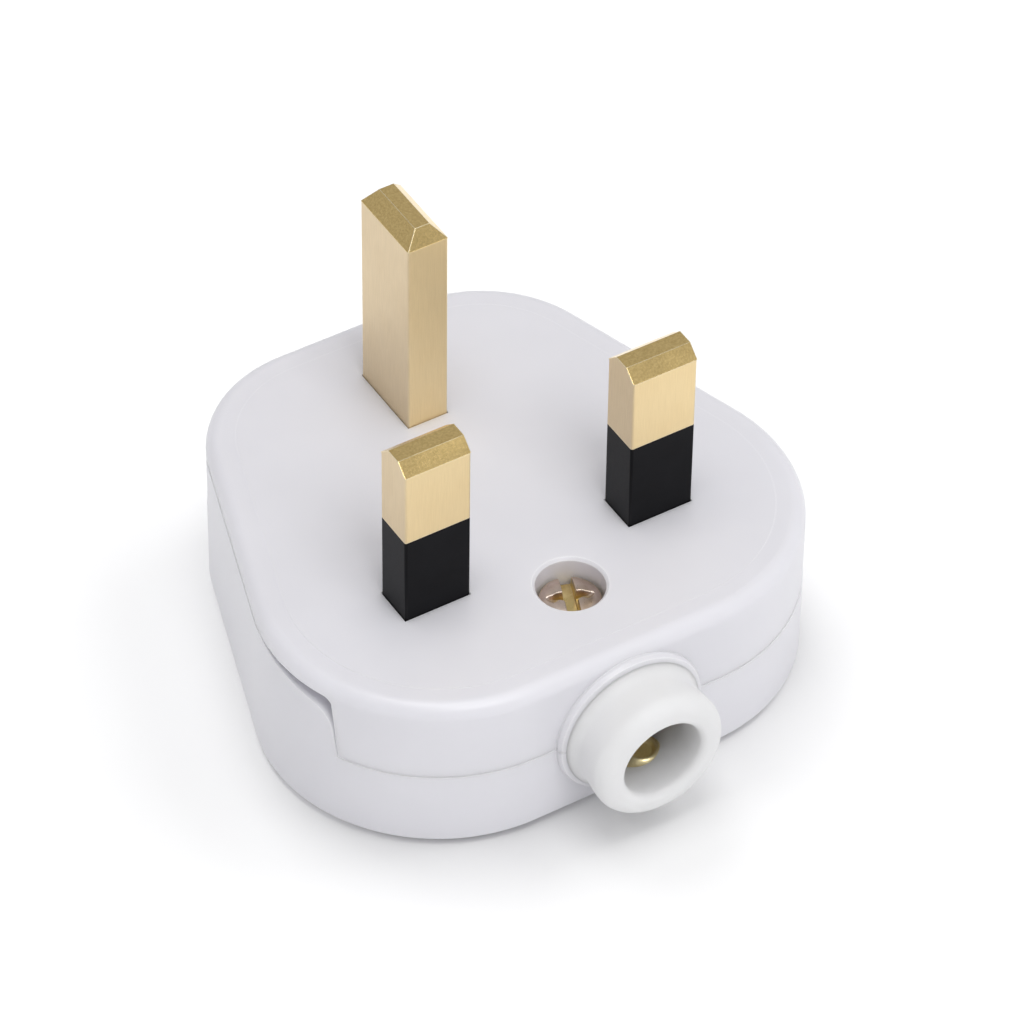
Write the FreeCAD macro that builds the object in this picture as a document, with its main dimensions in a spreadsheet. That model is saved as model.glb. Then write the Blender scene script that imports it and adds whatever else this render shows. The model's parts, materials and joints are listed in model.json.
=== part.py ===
"""UK three-pin plug, rewirable: two housing halves, three pins, cartridge fuse, terminals and cord grip.

Millimetres. The origin is on the pin face, midway between the live and neutral pins. +Z points along the pins,
+Y towards the earth pin, and +X from the live pin to the neutral pin, so the plug lies on its back.
"""
import FreeCAD, Part
import math
import os
import re

import Sketcher
from FreeCAD import Placement, Rotation, Vector

# Driving dimensions: alias, value in millimetres or degrees, meaning.
SIZES = [
    ("pin_spacing", 22.2, "live to neutral pin, centre to centre"),
    ("earth_offset", 22.2, "earth pin centre from the live and neutral line"),
    ("pin_wide", 6.35, "live and neutral pin, along X"),
    ("pin_thick", 3.97, "live and neutral pin, along Y"),
    ("pin_length", 17.5, "live and neutral pin above the face"),
    ("pin_bevel_in", 1.2, "tip bevel of the live and neutral pins, inwards"),
    ("pin_bevel_down", 1.1, "tip bevel of the live and neutral pins, along the pin"),
    ("earth_wide", 3.97, "earth pin, along X"),
    ("earth_thick", 7.95, "earth pin, along Y"),
    ("earth_length", 21.75, "earth pin above the face"),
    ("earth_bevel_side", 1.28, "earth tip bevel of the wide faces, inwards"),
    ("earth_bevel_end", 1.0, "earth tip bevel of the narrow faces, inwards"),
    ("earth_bevel_down", 1.5, "earth tip bevel along the pin"),
    ("pin_edge", 0.2, "rounding of a pin's long edges"),
    ("pin_gap", 0.06, "clearance between a pin and its aperture"),
    ("insulated_length", 9.0, "black sleeve above the face"),
    ("insulated_root", 1.5, "black sleeve below the face"),
    ("insulated_wall", 0.6, "wall of the black sleeve"),
    ("body_width", 50.2, "housing across its widest part"),
    ("front_edge", 14.7, "front wall from the live and neutral line"),
    ("back_edge", 32.7, "back wall from the live and neutral line"),
    ("front_radius", 16.0, "plan radius of the front corners"),
    ("back_radius", 12.3, "plan radius of the back corners"),
    ("side_taper", 17.7, "slope of each side towards the earth end, degrees"),
    ("base_depth", 8.0, "pin face to parting line"),
    ("cover_depth", 8.2, "parting line to back"),
    ("cover_proud", 0.05, "step out from base to cover at the parting line"),
    ("wall", 3.0, "wall of the base"),
    ("face_thick", 2.8, "thickness of the pin face"),
    ("floor_thick", 1.6, "thickness of the cover's floor"),
    ("rim_radius", 1.3, "rounding round the pin face"),
    ("foot_edge", 0.7, "bevel round the back"),
    ("border_wide", 2.6, "border round the raised pin face"),
    ("border_drop", 0.03, "step down from the pin face to its border"),
    ("lip_gap", 0.15, "clearance between the cover's lip and the base"),
    ("lip_thick", 0.8, "thickness of the cover's lip"),
    ("lip_high", 1.0, "height of the cover's lip"),
    ("window_front", 5.45, "front end of a grip window at its top, forward of the pin line"),
    ("window_lean", 0.7, "lean of that end towards the front, from top to bottom"),
    ("window_back", 25.0, "back end of a grip window"),
    ("window_top", 1.45, "top of a grip window below the pin face"),
    ("window_deep", 2.0, "depth of a grip window"),
    ("window_corner", 0.8, "corner radius of a grip window"),
    ("wing_level", 4.0, "place along a cover wing where its top starts to fall"),
    ("wing_fall", 1.6, "fall of a wing's top from there to its front end"),
    ("wing_gap", 0.05, "clearance round a cover wing"),
    ("wing_corner", 2.6, "corner radius of a cover wing"),
    ("collar_radius", 7.1, "outlet collar, outside"),
    ("collar_proud", 0.8, "outlet collar, forward of the front wall"),
    ("collar_edge", 0.5, "rounding of the collar's front edge"),
    ("flange_sunk", 1.2, "back of the sleeve's flange behind the front wall"),
    ("sleeve_gap", 0.1, "clearance between the outlet sleeve and its collar"),
    ("flange_radius", 6.8, "outlet sleeve's flange"),
    ("flange_thick", 1.0, "thickness of the flange"),
    ("sleeve_root", 6.3, "outlet sleeve's radius inside the collar"),
    ("sleeve_shoulder", 6.7, "shoulder of the outlet sleeve, over the collar's edge"),
    ("shoulder_gap", 0.05, "clearance between that shoulder and the collar"),
    ("sleeve_neck", 6.05, "outlet sleeve's radius at its neck"),
    ("sleeve_nose", 6.25, "outlet sleeve's radius at its end"),
    ("sleeve_reach", 6.0, "outlet sleeve, forward of the front wall"),
    ("nose_radius", 1.2, "rounding of the sleeve's end, outside"),
    ("mouth_radius", 0.7, "rounding of the sleeve's end, inside"),
    ("cord_radius", 3.8, "bore for the cord"),
    ("cord_land", 3.0, "straight length of the cord's bore"),
    ("cord_flare", 6.0, "inner end of the cord's bore"),
    ("screw_front", 5.3, "cover screw, forward of the pin line"),
    ("screw_recess", 3.05, "radius of the cover screw's recess"),
    ("recess_edge", 0.25, "bevel round the mouth of that recess"),
    ("screw_sunk", 1.4, "cover screw's head below the face"),
    ("head_radius", 2.7, "cover screw's head"),
    ("head_high", 2.4, "height of the cover screw's head"),
    ("head_dome", 0.5, "dome of the cover screw's head"),
    ("shank_radius", 1.75, "cover screw's shank"),
    ("shank_long", 9.4, "length of the cover screw's shank"),
    ("slot_wide", 1.2, "slot in the cover screw's head"),
    ("slot_deep", 0.9, "depth of that slot"),
    ("slot_turn", 21.0, "turn of that slot from the length of the plug, degrees"),
    ("cross_long", 3.5, "length of the short slot across it"),
    ("boss_radius", 4.0, "screw boss and pillar"),
    ("boss_long", 2.6, "boss below the screw head's seat"),
    ("shank_gap", 0.15, "clearance round a screw's shank"),
    ("washer_radius", 3.2, "retaining washer"),
    ("washer_thick", 0.5, "thickness of the retaining washer"),
    ("insert_radius", 2.8, "threaded insert"),
    ("insert_long", 5.5, "length of the threaded insert"),
    ("thread_gap", 0.05, "clearance between a thread and its hole"),
    ("block_drop", 8.0, "height of the neutral and earth terminals"),
    ("neutral_block", 8.0, "width of the neutral terminal"),
    ("earth_block_wide", 7.0, "width of the earth terminal"),
    ("earth_block_long", 9.5, "length of the earth terminal"),
    ("earth_screw_back", 3.2, "earth terminal's screw, from the front of the terminal"),
    ("wire_radius", 1.6, "wire hole of a terminal"),
    ("wire_drop", 3.7, "wire hole below the inside of the pin face"),
    ("terminal_shank", 1.6, "terminal screw's shank"),
    ("terminal_head", 2.3, "terminal screw's head"),
    ("terminal_head_high", 1.6, "height of the terminal screw's head"),
    ("terminal_slot", 0.8, "slot of the terminal and cord grip screws"),
    ("fuse_length", 25.4, "plug fuse, overall"),
    ("fuse_radius", 3.175, "plug fuse, over its caps"),
    ("fuse_front", 5.4, "front end of the fuse, forward of the pin line"),
    ("cap_long", 6.0, "fuse cap"),
    ("cap_wall", 0.35, "wall of a fuse cap"),
    ("clip_long", 5.0, "fuse clip, along the fuse"),
    ("clip_thick", 0.5, "sheet of a fuse clip"),
    ("clip_wide", 6.0, "flat of a fuse clip"),
    ("clip_mouth", 1.5, "end of a fuse clip's arms below the fuse's axis"),
    ("foot_thick", 2.4, "foot of the live pin"),
    ("foot_wide", 8.0, "width of that foot"),
    ("live_block_wide", 5.0, "width of the live terminal"),
    ("live_block_long", 4.6, "length of the live terminal"),
    ("live_block_drop", 5.5, "height of the live terminal"),
    ("live_block_gap", 1.0, "fuse to live terminal"),
    ("terminal_room", 0.12, "room round the fuse and terminals"),
    ("rib_thick", 1.0, "insulating ribs of the base"),
    ("rib_inside", 5.8, "insulating ribs from the middle"),
    ("rib_drop", 5.2, "height of the insulating ribs"),
    ("rib_back", 15.0, "back end of the insulating ribs"),
    ("rib_front", 7.0, "front end of the insulating ribs"),
    ("grip_spread", 8.8, "cord grip screws, centre to centre"),
    ("grip_front", 10.8, "cord grip, forward of the pin line"),
    ("grip_wide", 3.9, "width of the cord grip bar"),
    ("grip_long", 13.2, "length of the cord grip bar"),
    ("grip_thick", 2.0, "thickness of the cord grip bar"),
    ("grip_corner", 1.3, "corner radius of the cord grip bar"),
    ("grip_room", 0.4, "room round the cord grip"),
    ("grip_shank", 1.5, "cord grip screw's shank"),
    ("grip_head", 2.1, "cord grip screw's head"),
    ("grip_head_high", 1.2, "height of the cord grip screw's head"),
    ("grip_floor_gap", 0.2, "cord grip screw's head to the cover's floor"),
    ("saddle_thick", 2.6, "cord saddle of the base"),
    ("saddle_skin", 0.6, "saddle left above a cord grip screw's hole"),
]

doc = FreeCAD.newDocument("plug")
sheet = doc.addObject("Spreadsheet::Sheet", "Sizes")
for row, (alias, number, meaning) in enumerate(SIZES, 1):
    sheet.set(f"A{row}", meaning)
    sheet.set(f"B{row}", str(number))
    sheet.setAlias(f"B{row}", alias)
doc.recompute()

ALIASES = {alias for alias, number, meaning in SIZES}

# Places that several pieces share, as formulas of the driving dimensions.
LIVE_X = "-pin_spacing / 2"
NEUTRAL_X = "pin_spacing / 2"
PARTING = "-base_depth"
BACK = "-(base_depth + cover_depth)"
FLOOR = f"{BACK} + floor_thick"
INSIDE = "-face_thick"
CAVITY_INSET = "wall + lip_gap + lip_thick"
FRONT = "-front_edge"
FLANGE_BACK = "-front_edge + flange_sunk"
FLANGE_FRONT = f"{FLANGE_BACK} - flange_thick"
SEAT = "-(screw_sunk + head_high)"
BOSS_END = f"{SEAT} - boss_long"
PILLAR_TOP = f"{BOSS_END} - washer_thick"
SCREW_Y = "-screw_front"
CLIP_TOP = "-(face_thick + foot_thick)"
FUSE_Z = f"{CLIP_TOP} - clip_thick - fuse_radius"
FUSE_END = "fuse_length - fuse_front"
LIVE_BLOCK_FRONT = f"{FUSE_END} + live_block_gap"
LIVE_BLOCK_TOP = f"{CLIP_TOP} - clip_thick"
BLOCK_END = f"{INSIDE} - block_drop"
GRIP_Y = "-grip_front"
GRIP_SEAT = f"{FLOOR} + grip_floor_gap + grip_head_high"
SADDLE_END = f"{INSIDE} - saddle_thick"
WINDOW_FOOT = f"{PARTING} - lip_high"
# Share of its radius by which a quarter round, drawn as two straight bands, is cut in at its middle.
EASED = "(1 - cos(45))"


def bound(formula):
    """The formula with each driving dimension written as its spreadsheet cell."""
    return re.sub(r"[a-z_]+", lambda word: f"Sizes.{word[0]}" if word[0] in ALIASES else word[0], formula)


def value(formula):
    return float(sheet.evalExpression(bound(formula)))


def bind(item, **formulas):
    for name, formula in formulas.items():
        item.setExpression(name, bound(formula))


def place(item, x, y, z):
    for axis, formula in zip("xyz", (x, y, z)):
        item.setExpression(f"Placement.Base.{axis}", bound(formula))


def new_body(label):
    return doc.addObject("PartDesign::Body", label)


def origin_plane(body, role):
    return next(item for item in body.Origin.OriginFeatures if item.Role == role)


def box(name, x, y, z, body=None, mode="Additive"):
    """A block between low and high formulas along X, Y and Z, free or as a feature of a body."""
    if body:
        item = body.newObject(f"PartDesign::{mode}Box", name)
    else:
        item = doc.addObject("Part::Box", name)
    low = [pair[0] for pair in (x, y, z)]
    spans = [f"({pair[1]}) - ({pair[0]})" for pair in (x, y, z)]
    bind(item, Length=spans[0], Width=spans[1], Height=spans[2])
    place(item, *low)
    return item


def around(centre, size):
    """Low and high formulas of a size that is centred on a place."""
    return f"{centre} - ({size}) / 2", f"{centre} + ({size}) / 2"


def rod(name, x, y, z, radius, body=None, mode="Additive"):
    """A cylinder along whichever of X, Y and Z is a pair of low and high formulas."""
    turns = {0: Rotation(Vector(0, 1, 0), 90), 1: Rotation(Vector(1, 0, 0), -90), 2: Rotation()}
    along = next(i for i, place_ in enumerate((x, y, z)) if isinstance(place_, tuple))
    if body:
        item = body.newObject(f"PartDesign::{mode}Cylinder", name)
    else:
        item = doc.addObject("Part::Cylinder", name)
    low, high = (x, y, z)[along]
    item.Placement = Placement(Vector(), turns[along])
    bind(item, Radius=radius, Height=f"({high}) - ({low})")
    place(item, *[formula[0] if isinstance(formula, tuple) else formula for formula in (x, y, z)])
    return item


def fuse(name, items):
    item = doc.addObject("Part::MultiFuse", name)
    item.Shapes = items
    return item


def cut(name, base, tools):
    item = doc.addObject("Part::Cut", name)
    item.Base = base
    item.Tool = tools[0] if len(tools) == 1 else fuse(f"{name}_tools", tools)
    return item


def common(name, items):
    item = doc.addObject("Part::MultiCommon", name)
    item.Shapes = items
    return item


def outline_frame():
    """Corner centres of the housing's plan and the angle of its sides' outward normal."""
    angle = math.radians(value("side_taper"))
    normal = Vector(math.cos(angle), math.sin(angle), 0)
    front = Vector(value("body_width / 2 - front_radius"), value("front_radius - front_edge"), 0)
    back_y = value("back_edge - back_radius")
    reach = normal.dot(front) + value("front_radius - back_radius")
    back = Vector((reach - normal.y * back_y) / normal.x, back_y, 0)
    return front, back, angle


def draw_outline(sketch, inset):
    """Adds the housing's plan, a rounded trapezoid, drawn in by a formula and fully constrained."""
    front, back, angle = outline_frame()
    front_radius = value(f"front_radius - ({inset})")
    back_radius = value(f"back_radius - ({inset})")
    normal = Vector(math.cos(angle), math.sin(angle), 0)
    up = Vector(0, 0, 1)

    def mirror(point):
        return Vector(-point.x, point.y, 0)

    def arc(centre, radius, start, end):
        return Part.ArcOfCircle(Part.Circle(centre, up, radius), start, end)

    front_low = front - Vector(0, front_radius, 0)
    side_low = front + normal * front_radius
    side_high = back + normal * back_radius
    back_high = back + Vector(0, back_radius, 0)
    quarter = math.pi / 2
    first = sketch.GeometryCount
    sketch.addGeometry([
        Part.LineSegment(mirror(front_low), front_low),
        arc(front, front_radius, -quarter, angle),
        Part.LineSegment(side_low, side_high),
        arc(back, back_radius, angle, quarter),
        Part.LineSegment(back_high, mirror(back_high)),
        arc(mirror(back), back_radius, quarter, 2 * quarter - angle),
        Part.LineSegment(mirror(side_high), mirror(side_low)),
        arc(mirror(front), front_radius, 2 * quarter - angle, 3 * quarter),
    ], False)
    front_line, front_arc, side, back_arc = range(first, first + 4)
    back_line, back_twin, side_twin, front_twin = range(first + 4, first + 8)
    for number in range(8):
        following = first + (number + 1) % 8
        sketch.addConstraint(Sketcher.Constraint("Tangent", first + number, 2, following, 1))
    sketch.addConstraint(Sketcher.Constraint("Equal", front_arc, front_twin))
    sketch.addConstraint(Sketcher.Constraint("Equal", back_arc, back_twin))
    sketch.addConstraint(Sketcher.Constraint("Symmetric", front_arc, 3, front_twin, 3, -2))
    sketch.addConstraint(Sketcher.Constraint("Symmetric", back_arc, 3, back_twin, 3, -2))
    driven = [
        (("Radius", front_arc, front_radius), f"front_radius - ({inset})"),
        (("Radius", back_arc, back_radius), f"back_radius - ({inset})"),
        (("DistanceX", -1, 1, front_arc, 3, front.x), "body_width / 2 - front_radius"),
        (("DistanceY", front_line, 1, -1, 1, -front_low.y), f"front_edge - ({inset})"),
        (("DistanceY", -1, 1, back_line, 1, back_high.y), f"back_edge - ({inset})"),
        (("Angle", side, quarter + angle), "90 + side_taper"),
    ]
    for constraint, formula in driven:
        index = sketch.addConstraint(Sketcher.Constraint(*constraint))
        sketch.setExpression(f"Constraints[{index}]", bound(formula))


def prism(name, inset, z):
    """A straight block of the housing's plan, drawn in by a formula, between two heights."""
    sketch = doc.addObject("Sketcher::SketchObject", f"{name}_plan")
    draw_outline(sketch, inset)
    place(sketch, "0", "0", z[0])
    item = doc.addObject("Part::Extrusion", name)
    item.Base = sketch
    item.DirMode = "Custom"
    item.Dir = Vector(0, 0, 1)
    item.Solid = True
    bind(item, LengthFwd=f"({z[1]}) - ({z[0]})")
    return item


def ring_prism(name, outer, inner, z):
    """A wall of the housing's plan between two insets and two heights."""
    return cut(name, prism(f"{name}_outside", outer, z), [prism(f"{name}_inside", inner, z)])


def housing_block(label, inset, top, depth):
    """A body of the housing's plan from a top height downwards."""
    body = new_body(label)
    sketch = body.newObject("Sketcher::SketchObject", f"{label}_plan")
    sketch.AttachmentSupport = (origin_plane(body, "XY_Plane"), "")
    sketch.MapMode = "FlatFace"
    sketch.setExpression("AttachmentOffset.Base.z", bound(top))
    draw_outline(sketch, inset)
    pad = body.newObject("PartDesign::Pad", f"{label}_pad")
    pad.Profile = sketch
    pad.Reversed = True
    bind(pad, Length=depth)
    body.Tip = pad
    doc.recompute()
    return body


def flat_edges(shape, height):
    """Names of the edges that lie wholly at one height."""
    names = []
    for number, edge in enumerate(shape.Edges, 1):
        bounds = edge.BoundBox
        if abs(bounds.ZMin - height) < 1e-4 and abs(bounds.ZMax - height) < 1e-4:
            names.append(f"Edge{number}")
    return names


def upright_edges(shape, low, high):
    """Names of the straight edges that run up between two heights."""
    names = []
    for number, edge in enumerate(shape.Edges, 1):
        bounds = edge.BoundBox
        if bounds.XLength < 1e-4 and bounds.YLength < 1e-4:
            if bounds.ZMin > low - 1e-4 and bounds.ZMax < high + 1e-4:
                names.append(f"Edge{number}")
    return names


def round_edges(body, names, radius):
    sharp = body.Tip
    fillet = body.newObject("PartDesign::Fillet", f"{body.Name}_round")
    fillet.Base = (sharp, names)
    bind(fillet, Radius=radius)
    body.Tip = fillet
    doc.recompute()
    return fillet


def bevel_edges(body, names, size):
    sharp = body.Tip
    bevel = body.newObject("PartDesign::Chamfer", f"{body.Name}_bevel")
    bevel.Base = (sharp, names)
    bind(bevel, Size=size)
    body.Tip = bevel
    doc.recompute()
    return bevel


def tie_point(sketch, line, x, y):
    """Binds the start of a sketch line to two formulas."""
    for kind, formula in (("DistanceX", x), ("DistanceY", y)):
        number = value(formula)
        if number < 0:
            constraint = Sketcher.Constraint(kind, line, 1, -1, 1, -number)
            formula = f"-({formula})"
        else:
            constraint = Sketcher.Constraint(kind, -1, 1, line, 1, number)
        index = sketch.addConstraint(constraint)
        sketch.setExpression(f"Constraints[{index}]", bound(formula))


def draw_polygon(sketch, corners):
    """A closed outline of straight lines whose corners are pairs of formulas."""
    points = [Vector(value(x), value(y), 0) for x, y in corners]
    count = len(points)
    for number in range(count):
        sketch.addGeometry(Part.LineSegment(points[number], points[(number + 1) % count]), False)
    for number in range(count):
        sketch.addConstraint(Sketcher.Constraint("Coincident", number, 2, (number + 1) % count, 1))
    for number, (x, y) in enumerate(corners):
        tie_point(sketch, number, x, y)


def turned(label, profile):
    """A body turned about its own Z axis from corners given as radius and height formulas."""
    body = new_body(label)
    sketch = body.newObject("Sketcher::SketchObject", f"{label}_profile")
    sketch.AttachmentSupport = (origin_plane(body, "XZ_Plane"), "")
    sketch.MapMode = "FlatFace"
    draw_polygon(sketch, profile)
    turn = body.newObject("PartDesign::Revolution", f"{label}_turn")
    turn.Profile = sketch
    turn.ReferenceAxis = (sketch, ["V_Axis"])
    turn.Angle = 360
    body.Tip = turn
    doc.recompute()
    return body


def side_plate(name, side, corners):
    """A block across one side of the housing, from corners of its side view as Y and Z formulas."""
    sketch = doc.addObject("Sketcher::SketchObject", f"{name}_view")
    draw_polygon(sketch, corners)
    sketch.Placement = Placement(Vector(), Rotation(Vector(1, 1, 1), 120))
    place(sketch, "rib_inside" if side > 0 else "-body_width", "0", "0")
    item = doc.addObject("Part::Extrusion", name)
    item.Base = sketch
    item.DirMode = "Custom"
    item.Dir = Vector(1, 0, 0)
    item.Solid = True
    bind(item, LengthFwd="body_width - rib_inside")
    return item


def rounded_corner(item, name, radius_formula, y, z):
    """Rounds the edges across one corner of a wall, found by the corner's place along Y and Z."""
    doc.recompute()
    fillet = doc.addObject("Part::Fillet", name)
    fillet.Base = item
    radius = value(radius_formula)
    chosen = []
    for number, edge in enumerate(item.Shape.Edges, 1):
        bounds = edge.BoundBox
        if max(abs(bounds.YMin - y), abs(bounds.YMax - y), abs(bounds.ZMin - z), abs(bounds.ZMax - z)) < 1e-3:
            chosen.append((number, radius, radius))
    fillet.Edges = chosen
    return fillet


def make_collar(name, z):
    """Half of the outlet collar, with an eased front edge, on one side of the parting line."""
    collar = turned(f"{name}_ring", [
        ("0", "-wall"),
        ("collar_radius", "-wall"),
        ("collar_radius", "collar_proud - collar_edge"),
        (f"collar_radius - collar_edge * {EASED}", f"collar_proud - collar_edge * {EASED}"),
        ("collar_radius - collar_edge", "collar_proud"),
        ("0", "collar_proud"),
    ])
    collar.Placement.Rotation = Rotation(Vector(1, 0, 0), 90)
    place(collar, "0", FRONT, PARTING)
    half = box(f"{name}_half", ("-body_width", "body_width"), (f"{FRONT} - collar_proud", "0"), z)
    return common(name, [collar, half])


def outlet_cuts(name):
    """Room for the outlet sleeve: its passage through the collar and the groove for its flange."""
    passage = rod(f"{name}_passage", "0", (f"{FRONT} - 2 * collar_proud", f"{GRIP_Y} - grip_wide / 2"),
                  PARTING, "sleeve_root + sleeve_gap")
    groove = rod(f"{name}_groove", "0", (f"{FLANGE_FRONT} - sleeve_gap", f"{FLANGE_BACK} + sleeve_gap"),
                 PARTING, "flange_radius + sleeve_gap")
    return [passage, groove]


def grip_pocket(name, z):
    """A block of the cord grip's room behind the outlet."""
    return box(name, around("0", "grip_long + 2 * grip_room"),
               (f"{GRIP_Y} - grip_wide / 2 - grip_room / 2", f"{GRIP_Y} + grip_wide / 2"), z)


def terminal_rooms(name, top, fuse_top, low, live_wide):
    """Room round the fuse and the terminals wherever they come near the housing's wall."""
    front = "-fuse_front - terminal_room"
    fuse_back = f"{FUSE_END} + terminal_room"
    live_back = f"{LIVE_BLOCK_FRONT} + live_block_long + terminal_room"
    spaces = [
        ("foot", LIVE_X, "foot_wide", (front, "pin_thick + terminal_room"), top),
        ("fuse", LIVE_X, "2 * (fuse_radius + clip_thick)", (front, fuse_back), fuse_top),
        ("live", LIVE_X, live_wide, (front, live_back), fuse_top),
        ("neutral", NEUTRAL_X, "neutral_block", around("0", "neutral_block + 2 * terminal_room"), top),
        ("earth", "0", "earth_block_wide",
         around("earth_offset", "earth_block_long + 2 * terminal_room"), top),
    ]
    return [box(f"{name}_{word}_room", around(x, f"{wide} + 2 * terminal_room"), y, (low, high))
            for word, x, wide, y, high in spaces]


def make_base():
    """The housing half that carries the pins."""
    outside = housing_block("base_outside", "0", "-border_drop", "base_depth - border_drop")
    round_edges(outside, flat_edges(outside.Shape, value("-border_drop")), "rim_radius")
    cavity = prism("base_cavity", "wall", (PARTING, INSIDE))
    windows = []
    for side, word in ((-1, "left"), (1, "right")):
        region = side_plate(f"window_region_{word}", side, [
            ("window_back", WINDOW_FOOT),
            ("window_back", "-window_top"),
            ("-window_front", "-window_top"),
            ("-window_front - window_lean", WINDOW_FOOT),
        ])
        recess = cut(f"window_{word}", region, [prism(f"window_floor_{word}", "window_deep", (BACK, "0"))])
        corner = rounded_corner(recess, f"window_round_{word}", "window_corner",
                                value("-window_front"), value("-window_top"))
        windows.append(corner)
    rooms = terminal_rooms("base", INSIDE, CLIP_TOP, PARTING, "clip_wide")
    shell = cut("base_shell", outside, [cavity] + windows + rooms)

    embed = f"{INSIDE} / 2"
    face = prism("pin_face", "border_wide", (embed, "0"))
    boss = rod("screw_boss", "0", SCREW_Y, (BOSS_END, embed), "boss_radius")
    rib_y = ("-rib_front", "rib_back")
    rib_z = (f"{INSIDE} - rib_drop", embed)
    live_rib = box("live_rib", ("-rib_inside - rib_thick", "-rib_inside"), rib_y, rib_z)
    neutral_rib = box("neutral_rib", ("rib_inside", "rib_inside + rib_thick"), rib_y, rib_z)
    support = box("live_terminal_support", around(LIVE_X, "live_block_wide"),
                  (LIVE_BLOCK_FRONT, f"{LIVE_BLOCK_FRONT} + live_block_long"), (CLIP_TOP, embed))
    collar = make_collar("base_collar", (PARTING, "0"))
    walled = fuse("base_walled", [shell, face, boss, live_rib, neutral_rib, support, collar])
    outlet = outlet_cuts("base") + [grip_pocket("base_grip_room", (PARTING, INSIDE))]
    opened = cut("base_opened", walled, outlet)
    saddle = grip_pocket("cord_saddle", (SADDLE_END, embed))
    joined = fuse("base_joined", [opened, saddle])

    recess = turned("screw_recess_hole", [
        ("0", SEAT),
        ("screw_recess", SEAT),
        ("screw_recess", "-recess_edge"),
        ("screw_recess + recess_edge", "0"),
        ("screw_recess + recess_edge", "face_thick"),
        ("0", "face_thick"),
    ])
    place(recess, "0", SCREW_Y, "0")
    holes = [
        recess,
        rod("screw_shank_hole", "0", SCREW_Y, (BACK, "0"), "shank_radius + shank_gap"),
        rod("cord_trough", "0", (f"{GRIP_Y} - wall", f"{GRIP_Y} + wall"), PARTING, "cord_radius"),
    ]
    for word, x, y, wide, thick in pin_sections():
        holes.append(box(f"{word}_aperture", around(x, f"{wide} + 2 * pin_gap"),
                         around(y, f"{thick} + 2 * pin_gap"), (INSIDE, "face_thick")))
    for word, x in grip_screw_places():
        holes.append(rod(f"grip_hole_{word}", x, GRIP_Y, (BACK, f"{SADDLE_END} + saddle_thick - saddle_skin"),
                         "grip_shank + thread_gap"))
    return cut("pin_base", joined, holes)


def pin_sections():
    """Name, centre and section of each pin."""
    return [
        ("live", LIVE_X, "0", "pin_wide", "pin_thick"),
        ("neutral", NEUTRAL_X, "0", "pin_wide", "pin_thick"),
        ("earth", "0", "earth_offset", "earth_wide", "earth_thick"),
    ]


def grip_screw_places():
    return [("left", "-grip_spread / 2"), ("right", "grip_spread / 2")]


def make_cover():
    """The housing half that closes the back, with its wings, lip and pillar."""
    outside = housing_block("cover_outside", "-cover_proud", PARTING, "cover_depth")
    bevel_edges(outside, flat_edges(outside.Shape, value(BACK)), "foot_edge")
    cavity = prism("cover_cavity", CAVITY_INSET, (FLOOR, PARTING))
    shell = cut("cover_shell", outside, [cavity])
    lip = ring_prism("cover_lip", "wall + lip_gap", CAVITY_INSET,
                     (WINDOW_FOOT, f"{PARTING} + lip_high"))
    wing_top = "-window_top - wing_gap"
    wings = []
    for side, word in ((-1, "left"), (1, "right")):
        wall = ring_prism(f"wing_wall_{word}", "-cover_proud", "window_deep - wing_gap", (WINDOW_FOOT, "0"))
        region = side_plate(f"wing_region_{word}", side, [
            ("window_back - wing_gap", WINDOW_FOOT),
            ("window_back - wing_gap", wing_top),
            ("wing_level", wing_top),
            ("-window_front + wing_gap", f"{wing_top} - wing_fall"),
            ("-window_front - window_lean + wing_gap", WINDOW_FOOT),
        ])
        wing = common(f"wing_{word}", [wall, region])
        wings.append(rounded_corner(wing, f"wing_round_{word}", "wing_corner",
                                    value("-window_front + wing_gap"), value(f"{wing_top} - wing_fall")))
    pillar = rod("cover_pillar", "0", SCREW_Y, (f"{FLOOR} - floor_thick / 2", PILLAR_TOP), "boss_radius")
    collar = make_collar("cover_collar", (BACK, PARTING))
    joined = fuse("cover_joined", [shell, lip, pillar, collar] + wings)
    lip_top = f"{PARTING} + 2 * lip_high"
    holes = outlet_cuts("cover") + terminal_rooms("cover", lip_top, lip_top, FLOOR, "live_block_wide") + [
        grip_pocket("cover_grip_room", (FLOOR, lip_top)),
        rod("insert_hole", "0", SCREW_Y, (f"{PILLAR_TOP} - insert_long", PILLAR_TOP), "insert_radius"),
        rod("screw_end_hole", "0", SCREW_Y, (f"{SEAT} - shank_long - shank_gap", PILLAR_TOP),
            "shank_radius + shank_gap"),
    ]
    return cut("cover", joined, holes)


def make_outlet_sleeve():
    """The soft sleeve round the cord: flange in the collar, shoulder, waisted neck and blunt rounded end."""
    shoulder = "collar_proud + shoulder_gap"
    body = turned("outlet_sleeve", [
        ("cord_flare", "-flange_sunk"),
        ("flange_radius", "-flange_sunk"),
        ("flange_radius", "flange_thick - flange_sunk"),
        ("sleeve_root", "flange_thick - flange_sunk"),
        ("sleeve_root", shoulder),
        ("sleeve_shoulder", shoulder),
        ("sleeve_neck", "sleeve_reach / 2"),
        ("sleeve_nose", "sleeve_reach - nose_radius"),
        (f"sleeve_nose - nose_radius * {EASED}", f"sleeve_reach - nose_radius * {EASED}"),
        ("sleeve_nose - nose_radius", "sleeve_reach"),
        ("cord_radius + mouth_radius", "sleeve_reach"),
        (f"cord_radius + mouth_radius * {EASED}", f"sleeve_reach - mouth_radius * {EASED}"),
        ("cord_radius", "sleeve_reach - mouth_radius"),
        ("cord_radius", "sleeve_reach - cord_land"),
    ])
    body.Placement.Rotation = Rotation(Vector(1, 0, 0), 90)
    place(body, "0", FRONT, PARTING)
    return body


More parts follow.
